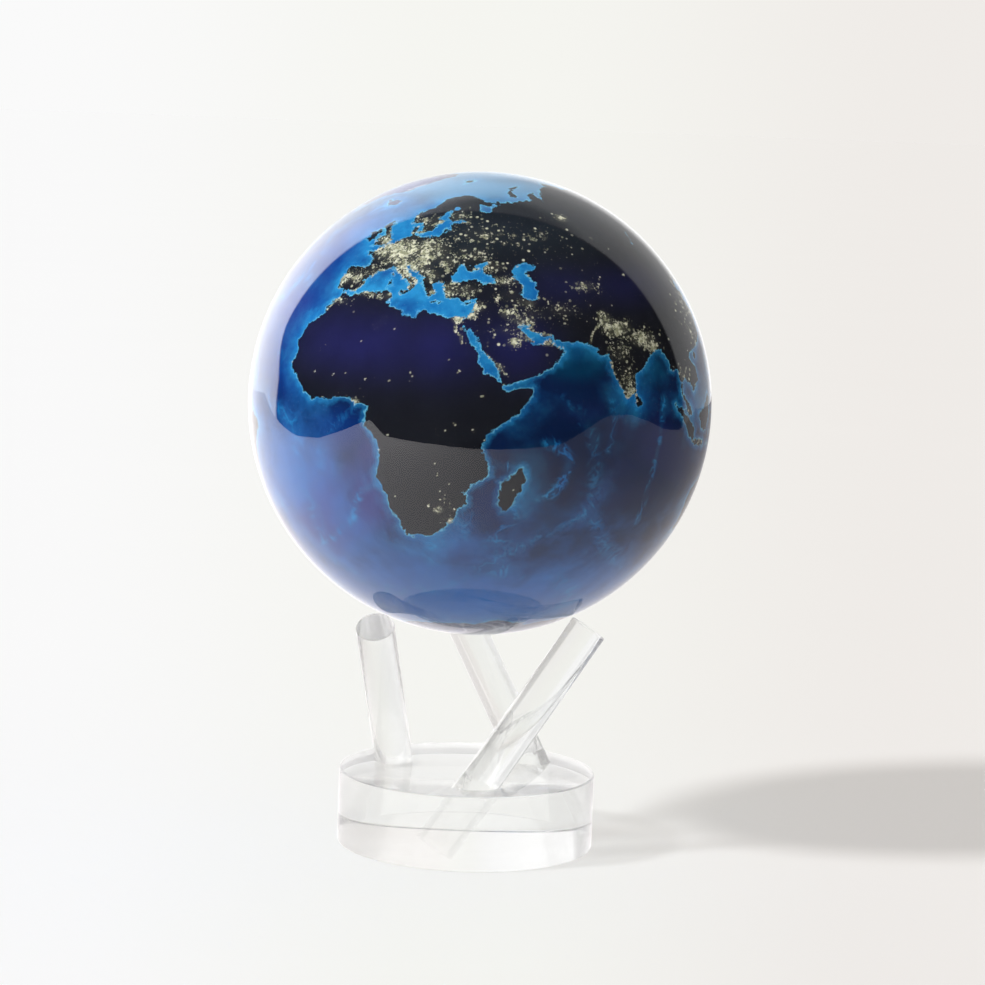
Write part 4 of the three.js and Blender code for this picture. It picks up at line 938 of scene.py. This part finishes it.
def light_field():
    """How densely city light fills each place, from 0 to about 1."""
    regions = [(strength, across, up, middle)
               for strength, across, up, middles in LIT_REGIONS for middle in middles]
    towns = [(strength, reach, reach, place) for strength, reach, places in CITIES for place in places]
    field = patches_field(regions)
    field = 1 - (1 - field) * (1 - patches_field(towns))
    for width, line in LIT_LINES:
        for rows, columns, gap in line_distance(line, 3 * width):
            patch = np.ix_(rows, columns)
            field[patch] = np.maximum(field[patch], 0.95 * np.exp(-(gap / (1.6 * width)) ** 2))
    return field


# ---- The print's material --------------------------------------------------------------------

OCEAN_DEEP = display(8, 34, 76)
OCEAN_TEAL = display(0, 58, 92)
OCEAN_BLUE = display(13, 57, 136)
OCEAN_PALE = display(52, 116, 196)
OCEAN_SLOPE = display(22, 112, 186)
OCEAN_SHELF = display(44, 152, 212)
ARCTIC = display(112, 166, 204)
COAST_RIM = display(120, 212, 240)
OCEAN_VIOLET = display(66, 60, 138)
LAND_BLACK = display(28, 30, 37)
LAND_DRY = display(37, 38, 98)
LAND_COOL = display(38, 45, 54)
LAND_ICE = display(96, 106, 168)
LAND_ICE_BRIGHT = display(214, 220, 238)
LIGHT_CREAM = display(230, 230, 204)
LIGHT_TAN = display(158, 160, 130)
LIGHT_DIM = display(150, 150, 128)
LAND_SHADE = display(14, 15, 22)


def water_colour(nodes, sea):
    """The sea floor: bright shelves near the coast, pale broad southern seas, dark deeps."""
    broad = nodes.noise(30, detail=4, roughness=0.55, distortion=0.5)
    fine = nodes.noise(120, detail=6, roughness=0.66, distortion=0.3)
    mottle = nodes.plus(nodes.times(broad, 1.1), nodes.times(fine, 0.9))
    mottle = nodes.minus(mottle, 1.0)
    pale = nodes.field("pale")
    tone = nodes.plus(pale, nodes.times(mottle, 0.75))
    water = nodes.mix(nodes.ramp(nodes.field("teal"), 0.15, 0.8), OCEAN_DEEP, OCEAN_TEAL)
    water = nodes.mix(nodes.ramp(nodes.field("blue"), 0.1, 0.8), water, OCEAN_BLUE)
    water = nodes.mix(nodes.ramp(tone, 0.10, 0.95), water, OCEAN_PALE)
    violet = nodes.ramp(nodes.noise(22, detail=3, distortion=0.8), 0.50, 0.66, 0.0, 0.62)
    violet = nodes.times(violet, nodes.ramp(pale, 0.05, 0.5, 0.25, 1.0))
    water = nodes.mix(violet, water, OCEAN_VIOLET)
    wide = nodes.times(nodes.ramp(sea, 1.0, 8.0, 0.55, 0.0), nodes.ramp(broad, 0.38, 0.62))
    shelf = nodes.plus(nodes.ramp(sea, 0.1, 2.4, 0.55, 0.0), wide)
    wave = nodes.noise(150, detail=6, roughness=0.62, distortion=0.6)
    vein = nodes.ramp(nodes.math("ABSOLUTE", nodes.minus(wave, 0.5)), 0.0, 0.045, 1.6, 0.0)
    crest = nodes.times(nodes.field("ridge"), nodes.plus(vein, 0.35))
    shelf = nodes.plus(shelf, crest)
    shelf = nodes.plus(shelf, nodes.times(mottle, 0.30))
    shelf = nodes.plus(shelf, nodes.field("shallow"), clamp=True)
    bright = nodes.mix(nodes.ramp(fine, 0.35, 0.65), OCEAN_SLOPE, OCEAN_SHELF)
    water = nodes.mix(nodes.times(shelf, 0.92), water, bright)
    water = nodes.mix(nodes.field("arctic"), water, ARCTIC)
    patchy = nodes.ramp(nodes.noise(260, detail=4), 0.35, 0.62, 0.25, 0.95)
    rim = nodes.times(nodes.ramp(sea, 0.05, 0.48, 0.85, 0.0), patchy)
    return nodes.mix(rim, water, COAST_RIM)


def ground_colour(nodes):
    """Land: near black, violet-blue where dry, slate in the north."""
    ground = nodes.mix(nodes.field("dry"), LAND_BLACK, LAND_DRY)
    ground = nodes.mix(nodes.field("cool"), ground, LAND_COOL)
    ground = nodes.mix(nodes.field("ice"), ground, LAND_ICE)
    crack = nodes.math("ABSOLUTE", nodes.minus(nodes.noise(75, detail=4, distortion=1.2), 0.5))
    crack = nodes.times(nodes.ramp(crack, 0.0, 0.035, 1.0, 0.0), nodes.field("ice"))
    ground = nodes.mix(crack, ground, LAND_ICE_BRIGHT)
    shade = nodes.ramp(nodes.noise(70, detail=5, roughness=0.6), 0.3, 0.7, 0.0, 0.3)
    return nodes.mix(shade, ground, LAND_SHADE)


def lamp_share(nodes, light):
    """City lights: crumbs that gather where the light field is strong, and single bright towns."""
    crumbs = nodes.noise(1900, detail=3, roughness=0.8)
    clumps = nodes.noise(480, detail=4, roughness=0.7)
    grain = nodes.plus(nodes.times(crumbs, 0.5), nodes.times(clumps, 0.5))
    bar = nodes.minus(0.67, nodes.times(light, 0.225))
    glow = nodes.ramp(nodes.minus(grain, bar), -0.012, 0.022)
    distance, tint = nodes.cells(820)
    pick = nodes.add("ShaderNodeSeparateColor")
    nodes.feed(pick.inputs[0], tint)
    chosen = nodes.math("LESS_THAN", pick.outputs[0], nodes.times(light, 0.9))
    town = nodes.times(nodes.ramp(distance, 0.22, 0.36, 1.0, 0.0), chosen)
    town = nodes.times(town, nodes.ramp(pick.outputs[1], 0.0, 1.0, 0.25, 1.0))
    lone = nodes.ramp(nodes.field("town"), 0.45, 0.85, 0.0, 0.9)
    return nodes.math("MAXIMUM", glow, nodes.math("MAXIMUM", town, lone))


def print_material():
    """Coasts, sea floor, land tints and city lights, from the map's fields and fine noise."""
    material, nodes = new_material("night_map_print")
    wiggle = nodes.minus(nodes.noise(620, detail=6, roughness=0.7), 0.5)
    coast = nodes.plus(nodes.field("coast"), nodes.times(wiggle, 3.7))
    sea = nodes.times(coast, -1.0)
    light = nodes.field("light")
    ground = ground_colour(nodes)
    ground = nodes.mix(nodes.ramp(light, 0.30, 1.0, 0.0, 0.22), ground, LIGHT_DIM)
    colour = nodes.mix(nodes.ramp(coast, -0.04, 0.04), water_colour(nodes, sea), ground)
    lamp = nodes.times(lamp_share(nodes, light), nodes.ramp(coast, -0.55, -0.05))
    glitter = nodes.mix(nodes.ramp(nodes.noise(1100, detail=3), 0.40, 0.62), LIGHT_TAN, LIGHT_CREAM)
    colour = nodes.mix(lamp, colour, glitter)
    shader = nodes.add("ShaderNodeBsdfPrincipled")
    nodes.feed(shader.inputs["Base Color"], colour)
    shader.inputs["Roughness"].default_value = 0.6
    shader.inputs["Specular IOR Level"].default_value = 0.05
    nodes.finish(shader.outputs[0])
    return material


# ---- The printed globe -----------------------------------------------------------------------

SEAM_ANGLE = math.degrees(math.asin(0.002 * MM / PRINT_RADIUS))
NEARLY_POLE = 89.9
PLAIN_RINGS = 12


def sphere_point(longitude, latitude, radius):
    """A place on the printed globe. The facing meridian looks towards -Y."""
    turn = math.radians(longitude - FACING)
    rise = math.radians(latitude)
    return CENTRE + radius * Vector((
        math.cos(rise) * math.sin(turn), -math.cos(rise) * math.cos(turn), math.sin(rise)))


def add_ring(points, sources, row, latitude, radius):
    """Adds a ring of points, or the one point at a pole, with the grid places of their map values.
    Returns the point number of each column."""
    at_pole = abs(latitude) > NEARLY_POLE
    start = len(points)
    for column in [0] if at_pole else range(COLUMNS):
        points.append(sphere_point(GRID_LONGITUDE[column], latitude, radius))
        sources.append((row, column))
    return [start] * COLUMNS if at_pole else list(range(start, start + COLUMNS))


def printed_rings(points, sources, north):
    """The outside's rings from the seam to the pole, one to a grid row."""
    rings = []
    for row in range(EQUATOR_ROW, ROWS + 1) if north else range(EQUATOR_ROW + 1):
        latitude = float(printed_latitude(GRID_LATITUDE[row]))
        if row == EQUATOR_ROW:
            latitude = SEAM_ANGLE if north else -SEAM_ANGLE
        rings.append(add_ring(points, sources, row, latitude, PRINT_RADIUS))
    return rings if north else rings[::-1]


def plain_rings(points, sources, north):
    """The inside's rings from the seam to the pole."""
    rings = []
    for step in range(PLAIN_RINGS + 1):
        latitude = SEAM_ANGLE + (90 - SEAM_ANGLE) * step / PLAIN_RINGS
        place = latitude if north else -latitude
        rings.append(add_ring(points, sources, EQUATOR_ROW, place, PRINT_RADIUS - PRINT_WALL))
    return rings


def make_map_shell(name, north, fields, material):
    """One printed half shell: a fine outside that carries the map, and a plain inside."""
    points, sources = [], []
    outside = printed_rings(points, sources, north)
    inside_face = plain_rings(points, sources, north)
    faces = ring_faces(inside_face[::-1] + outside, flipped=not north)
    shell = mesh_object(name, points, faces)
    shell.data.set_sharp_from_angle(angle=math.radians(40))
    rows, columns = np.array(sources).T
    for field_name, grid in fields.items():
        attribute = shell.data.attributes.new(field_name, "FLOAT", "POINT")
        attribute.data.foreach_set("value", grid[rows, columns].astype(np.float32))
    shell.data.materials.append(material)
    return shell


def make_globe():
    """Both printed half shells, with the map's fields stored on their points."""
    fields = {
        "coast": coast_field(),
        "ridge": ridge_field(),
        "light": light_field(),
        "dry": patches_field(DRY_LANDS),
        "cool": patches_field(COOL_LANDS),
        "ice": patches_field(ICE_LANDS),
        "town": town_field(),
        "shallow": patches_field(SHALLOW_SEAS),
        "pale": patches_field(PALE_SEAS),
        "blue": patches_field(BLUE_SEAS),
        "teal": patches_field(TEAL_SEAS),
        "arctic": patches_field(ARCTIC_SEAS),
    }
    material = print_material()
    for half, north in (("north", True), ("south", False)):
        shell = make_map_shell(f"printed_shell_{half}", north, fields, material)
        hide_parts(f"map_shell_{half}")
        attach(shell, "inner_globe")


# ---- Clear acrylic ---------------------------------------------------------------------------

ACRYLIC_IOR = 1.49
ACRYLIC_OVER_LIQUID = 1.035
BALL_TINT = (0.99, 0.995, 1.0, 1)
NO_TINT = (1.0, 1.0, 1.0, 1)
STAND_TINT = (0.985, 0.99, 0.985, 1)

# The stand's faces in the open air, and those where rod and socket meet: the share of lamp light
# that each face lets through, and the share of a view that passes unbent.
EXPOSED_SHADOW = 0.76
EXPOSED_STRAIGHT = 0.20
BURIED_SHADOW = 0.98
BURIED_STRAIGHT = 0.95
STAND_SMEAR = 0.03
ROD_BURIED_BELOW = DISC_TOP - 0.3 * MM
DISC_BURIED_BELOW = DISC_TOP - 0.1 * MM


def clear_material(name, ior, tint, shadow=1.0, smear=0.0, straight=0.0):
    """Polished clear acrylic. Shadow is the share of lamp light that each face lets through, smear
    the roughness of its worn patches, and straight the share of a view that passes unbent. Where
    there is such a share, soft light on the floor beyond passes unbent as well."""
    material, nodes = new_material(name)
    glass = nodes.add("ShaderNodeBsdfPrincipled")
    glass.inputs["Base Color"].default_value = tint
    glass.inputs["Transmission Weight"].default_value = 1.0
    glass.inputs["IOR"].default_value = ior
    worn = nodes.ramp(nodes.noise(60, detail=4, roughness=0.6), 0.45, 0.75, 0.0, smear)
    nodes.feed(glass.inputs["Roughness"], worn)
    through = nodes.add("ShaderNodeBsdfTransparent")
    path = nodes.add("ShaderNodeLightPath")
    in_shadow = path.outputs["Is Shadow Ray"]
    unbent = in_shadow
    if straight > 0:
        unbent = nodes.math("MAXIMUM", in_shadow, path.outputs["Is Diffuse Ray"])
    warm = (shadow, shadow * 0.985, shadow * 0.975, 1)
    nodes.feed(through.inputs["Color"], nodes.mix(in_shadow, (1, 1, 1, 1), warm))
    mix = nodes.add("ShaderNodeMixShader")
    nodes.feed(mix.inputs[0], nodes.math("MAXIMUM", unbent, straight))
    nodes.tree.links.new(glass.outputs[0], mix.inputs[1])
    nodes.tree.links.new(through.outputs[0], mix.inputs[2])
    nodes.finish(mix.outputs[0])
    return material


def make_outer_ball():
    """The clear ball: its outside meets air, and its inside meets the liquid."""
    hole = PLUG_RADIUS + PLUG_GAP
    inner = BALL_RADIUS - BALL_WALL
    outside_start = -math.degrees(math.acos(hole / BALL_RADIUS))
    inside_start = -math.degrees(math.acos(hole / inner))
    profile = arc((0, CENTRE.z), inner, 90, inside_start, BALL_STEPS)
    profile += arc((0, CENTRE.z), BALL_RADIUS, outside_start, 90, BALL_STEPS)
    vertices, faces = spin(profile, BALL_SEGMENTS)
    ball = mesh_object("clear_ball", vertices, faces)
    ball.data.materials.append(clear_material("clear_ball_outside", ACRYLIC_IOR, BALL_TINT))
    ball.data.materials.append(clear_material("clear_ball_inside", ACRYLIC_OVER_LIQUID, NO_TINT))
    limit = (BALL_RADIUS + inner) / 2
    for polygon in ball.data.polygons:
        inward = (Vector(polygon.center) - CENTRE).length < limit
        polygon.material_index = 1 if inward else 0
    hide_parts("outer_shell_upper", "outer_shell_lower")
    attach(ball, "outer_ball")


def make_plug():
    """The plug of the filling hole under the ball, its low end all but flush."""
    low, high = BALL_LOW.z, BALL_LOW.z + PLUG_LENGTH
    profile = [
        (0, low + 0.03 * MM),
        (PLUG_RADIUS - 0.1 * MM, low + 0.08 * MM),
        (PLUG_RADIUS, low + 0.15 * MM),
        (PLUG_RADIUS, high - PLUG_CHAMFER),
        (PLUG_RADIUS - PLUG_CHAMFER, high),
        (0, high),
    ]
    vertices, faces = spin(profile, PLUG_SEGMENTS)
    plug = mesh_object("clear_fill_plug", vertices, faces)
    plug.data.set_sharp_from_angle(angle=math.radians(30))
    plug.data.materials.append(clear_material("clear_plug", ACRYLIC_IOR, BALL_TINT))
    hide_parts("fill_plug")
    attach(plug, "outer_ball")


def rod_axis(index):
    """A rod's two end centres and direction, from the principal axis of its CAD mesh."""
    mesh = frame["nodes"][f"support_rod_{index}"].data
    points = np.array([v.co for v in mesh.vertices])
    middle = points.mean(0)
    spread = points - middle
    direction = np.linalg.eigh(spread.T @ spread)[1][:, -1]
    if direction[2] < 0:
        direction = -direction
    along = spread @ direction
    low = Vector(middle + direction * along.min())
    high = Vector(middle + direction * along.max())
    return low, high, Vector(direction)


def turned_piece(name, profile, segments, low, direction):
    """A spun piece whose own Z is laid along a direction from a low point."""
    vertices, faces = spin(profile, segments)
    turn = Vector((0, 0, 1)).rotation_difference(direction)
    placed = [low + turn @ Vector(vertex) for vertex in vertices]
    obj = mesh_object(name, placed, faces)
    obj.data.set_sharp_from_angle(angle=math.radians(30))
    return obj


def make_rods(exposed, buried):
    """Three rods with softened ends, ringed closely where they enter the disc."""
    core = ROD_RADIUS - ROD_EDGE
    for index in RODS:
        low, high, direction = rod_axis(index)
        length = (high - low).length
        surface = (DISC_TOP - low.z) / direction.z
        profile = [(0, 0), (core, 0)]
        profile += arc((core, ROD_EDGE), ROD_EDGE, -60, 0, 4)
        profile += [(ROD_RADIUS, surface + step * MM) for step in range(-12, 13)]
        profile += arc((core, length - ROD_EDGE), ROD_EDGE, 0, 60, 4)
        profile += [(core, length), (0, length)]
        rod = turned_piece(f"clear_rod_{index}", profile, ROD_SEGMENTS, low, direction)
        rod.data.materials.append(exposed)
        rod.data.materials.append(buried)
        for polygon in rod.data.polygons:
            polygon.material_index = 1 if polygon.center.z < ROD_BURIED_BELOW else 0
        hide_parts(f"support_rod_{index}")
        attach(rod, "stand")


def make_disc(exposed, buried):
    """The thick disc, with polished edges and three slanted sockets."""
    rim = DISC_RADIUS - DISC_EDGE
    profile = [(0, 0), (rim, 0)]
    profile += arc((rim, DISC_EDGE), DISC_EDGE, -75, 0, 5)
    profile += arc((rim, DISC_TOP - DISC_EDGE), DISC_EDGE, 0, 75, 5)
    profile += [(rim, DISC_TOP), (0, DISC_TOP)]
    vertices, faces = spin(profile, DISC_SEGMENTS)
    disc = mesh_object("clear_disc", vertices, faces, smooth=False)
    for index in RODS:
        cut_socket(disc, index)
    disc.data.shade_smooth()
    disc.data.set_sharp_from_angle(angle=math.radians(25))
    disc.data.materials.clear()
    disc.data.materials.append(exposed)
    disc.data.materials.append(buried)
    for polygon in disc.data.polygons:
        middle = polygon.center
        inside_edge = middle.xy.length < DISC_RADIUS - 2 * DISC_EDGE
        between_faces = 2 * DISC_EDGE < middle.z < DISC_BURIED_BELOW
        polygon.material_index = 1 if inside_edge and between_faces else 0
    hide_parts("base_disc")
    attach(disc, "stand")


def cut_socket(disc, index):
    """Cuts a rod's slanted socket, open at the disc's top."""
    low, high, direction = rod_axis(index)
    radius = ROD_RADIUS + SOCKET_GAP
    top = SOCKET_CUT_LENGTH
    profile = [(0, SOCKET_FLOOR), (radius, SOCKET_FLOOR), (radius, top), (0, top)]
    cutter = turned_piece(f"socket_cutter_{index}", profile, ROD_SEGMENTS, low, direction)
    cut = disc.modifiers.new("socket", "BOOLEAN")
    cut.object = cutter
    cut.operation = "DIFFERENCE"
    cut.solver = "EXACT"
    bpy.context.view_layer.objects.active = disc
    bpy.ops.object.modifier_apply(modifier=cut.name)
    bpy.data.objects.remove(cutter)


def make_stand():
    """The disc and its rods: open faces bend the view, faces inside a joint hardly do."""
    exposed = clear_material(
        "clear_stand", ACRYLIC_IOR, STAND_TINT, EXPOSED_SHADOW, STAND_SMEAR, EXPOSED_STRAIGHT)
    buried = clear_material(
        "clear_joint", ACRYLIC_IOR, STAND_TINT, BURIED_SHADOW, STAND_SMEAR, BURIED_STRAIGHT)
    make_rods(exposed, buried)
    make_disc(exposed, buried)


# ---- Inner pieces that keep their CAD shape --------------------------------------------------


def plain_material(name, colour, roughness, metallic=0.0, grain=400.0, contrast=0.12, relief=0.15):
    """A plastic, metal or lacquer with fine mottling, and roughness and relief from the same grain."""
    material, nodes = new_material(name)
    shader = nodes.add("ShaderNodeBsdfPrincipled")
    tone = nodes.noise(grain, detail=4, roughness=0.6)
    darker = tuple(part * (1 - contrast) for part in colour[:3]) + (1.0,)
    nodes.feed(shader.inputs["Base Color"], nodes.mix(nodes.ramp(tone, 0.3, 0.7), colour, darker))
    low, high = max(roughness - 0.08, 0.02), roughness + 0.08
    nodes.feed(shader.inputs["Roughness"], nodes.ramp(tone, 0.3, 0.7, low, high))
    shader.inputs["Metallic"].default_value = metallic
    nodes.feed(shader.inputs["Normal"], nodes.bump(tone, relief, 0.0002))
    nodes.finish(shader.outputs[0])
    return material


def banded_material(name, colour, dark, scale, roughness, metallic, axis):
    """Fine parallel lines, for wire turns and the fingers of a solar cell."""
    material, nodes = new_material(name)
    shader = nodes.add("ShaderNodeBsdfPrincipled")
    wave = nodes.add("ShaderNodeTexWave", wave_type="BANDS", bands_direction=axis)
    nodes.feed(wave.inputs["Vector"], nodes.place())
    wave.inputs["Scale"].default_value = scale
    wave.inputs["Distortion"].default_value = 0.2
    nodes.feed(shader.inputs["Base Color"], nodes.mix(wave.outputs["Fac"], dark, colour))
    shader.inputs["Roughness"].default_value = roughness
    shader.inputs["Metallic"].default_value = metallic
    nodes.feed(shader.inputs["Normal"], nodes.bump(wave.outputs["Fac"], 0.3, 0.0003))
    nodes.finish(shader.outputs[0])
    return material


def dress_inner_pieces():
    """Gives every inner CAD piece the finish of its slot."""
    finishes = {
        "white_plastic": plain_material("white_moulding", (0.80, 0.80, 0.77, 1), 0.45),
        "black_plastic": plain_material("black_moulding", (0.02, 0.02, 0.022, 1), 0.45),
        "solar_cell": banded_material("cell_fingers", (0.02, 0.035, 0.12, 1), (0.25, 0.26, 0.28, 1),
                                      160.0, 0.2, 0.0, "X"),
        "circuit_board": plain_material("solder_mask", (0.02, 0.16, 0.06, 1), 0.35, grain=900),
        "copper_wire": banded_material("copper_turns", (0.72, 0.33, 0.16, 1), (0.35, 0.13, 0.05, 1),
                                       500.0, 0.3, 0.9, "Z"),
        "brass": plain_material("turned_brass", (0.70, 0.52, 0.22, 1), 0.28, 1.0, grain=700),
        "steel": plain_material("plain_steel", (0.55, 0.56, 0.57, 1), 0.32, 1.0, grain=700),
        "nickel_magnet": plain_material("nickel_plate", (0.62, 0.61, 0.58, 1), 0.2, 1.0, grain=500),
        "ruby": plain_material("synthetic_ruby", (0.45, 0.01, 0.04, 1), 0.12, grain=500, relief=0.02),
        "cast_iron": plain_material("cast_iron", (0.10, 0.10, 0.105, 1), 0.62, 0.8, 500, 0.3, 0.5),
        "red_lead": plain_material("red_insulation", (0.42, 0.02, 0.015, 1), 0.5),
        "black_lead": plain_material("black_insulation", (0.02, 0.02, 0.02, 1), 0.5),
    }
    for part in frame["record"]["subparts"]:
        finish = finishes.get(part["material_slot"])
        if finish is None:
            continue
        mesh = frame["nodes"][part["node"]].data
        mesh.materials.clear()
        mesh.materials.append(finish)


# ---- The scene -------------------------------------------------------------------------------

make_camera()
make_stage()
dress_inner_pieces()
make_globe()
make_outer_ball()
make_plug()
make_stand()
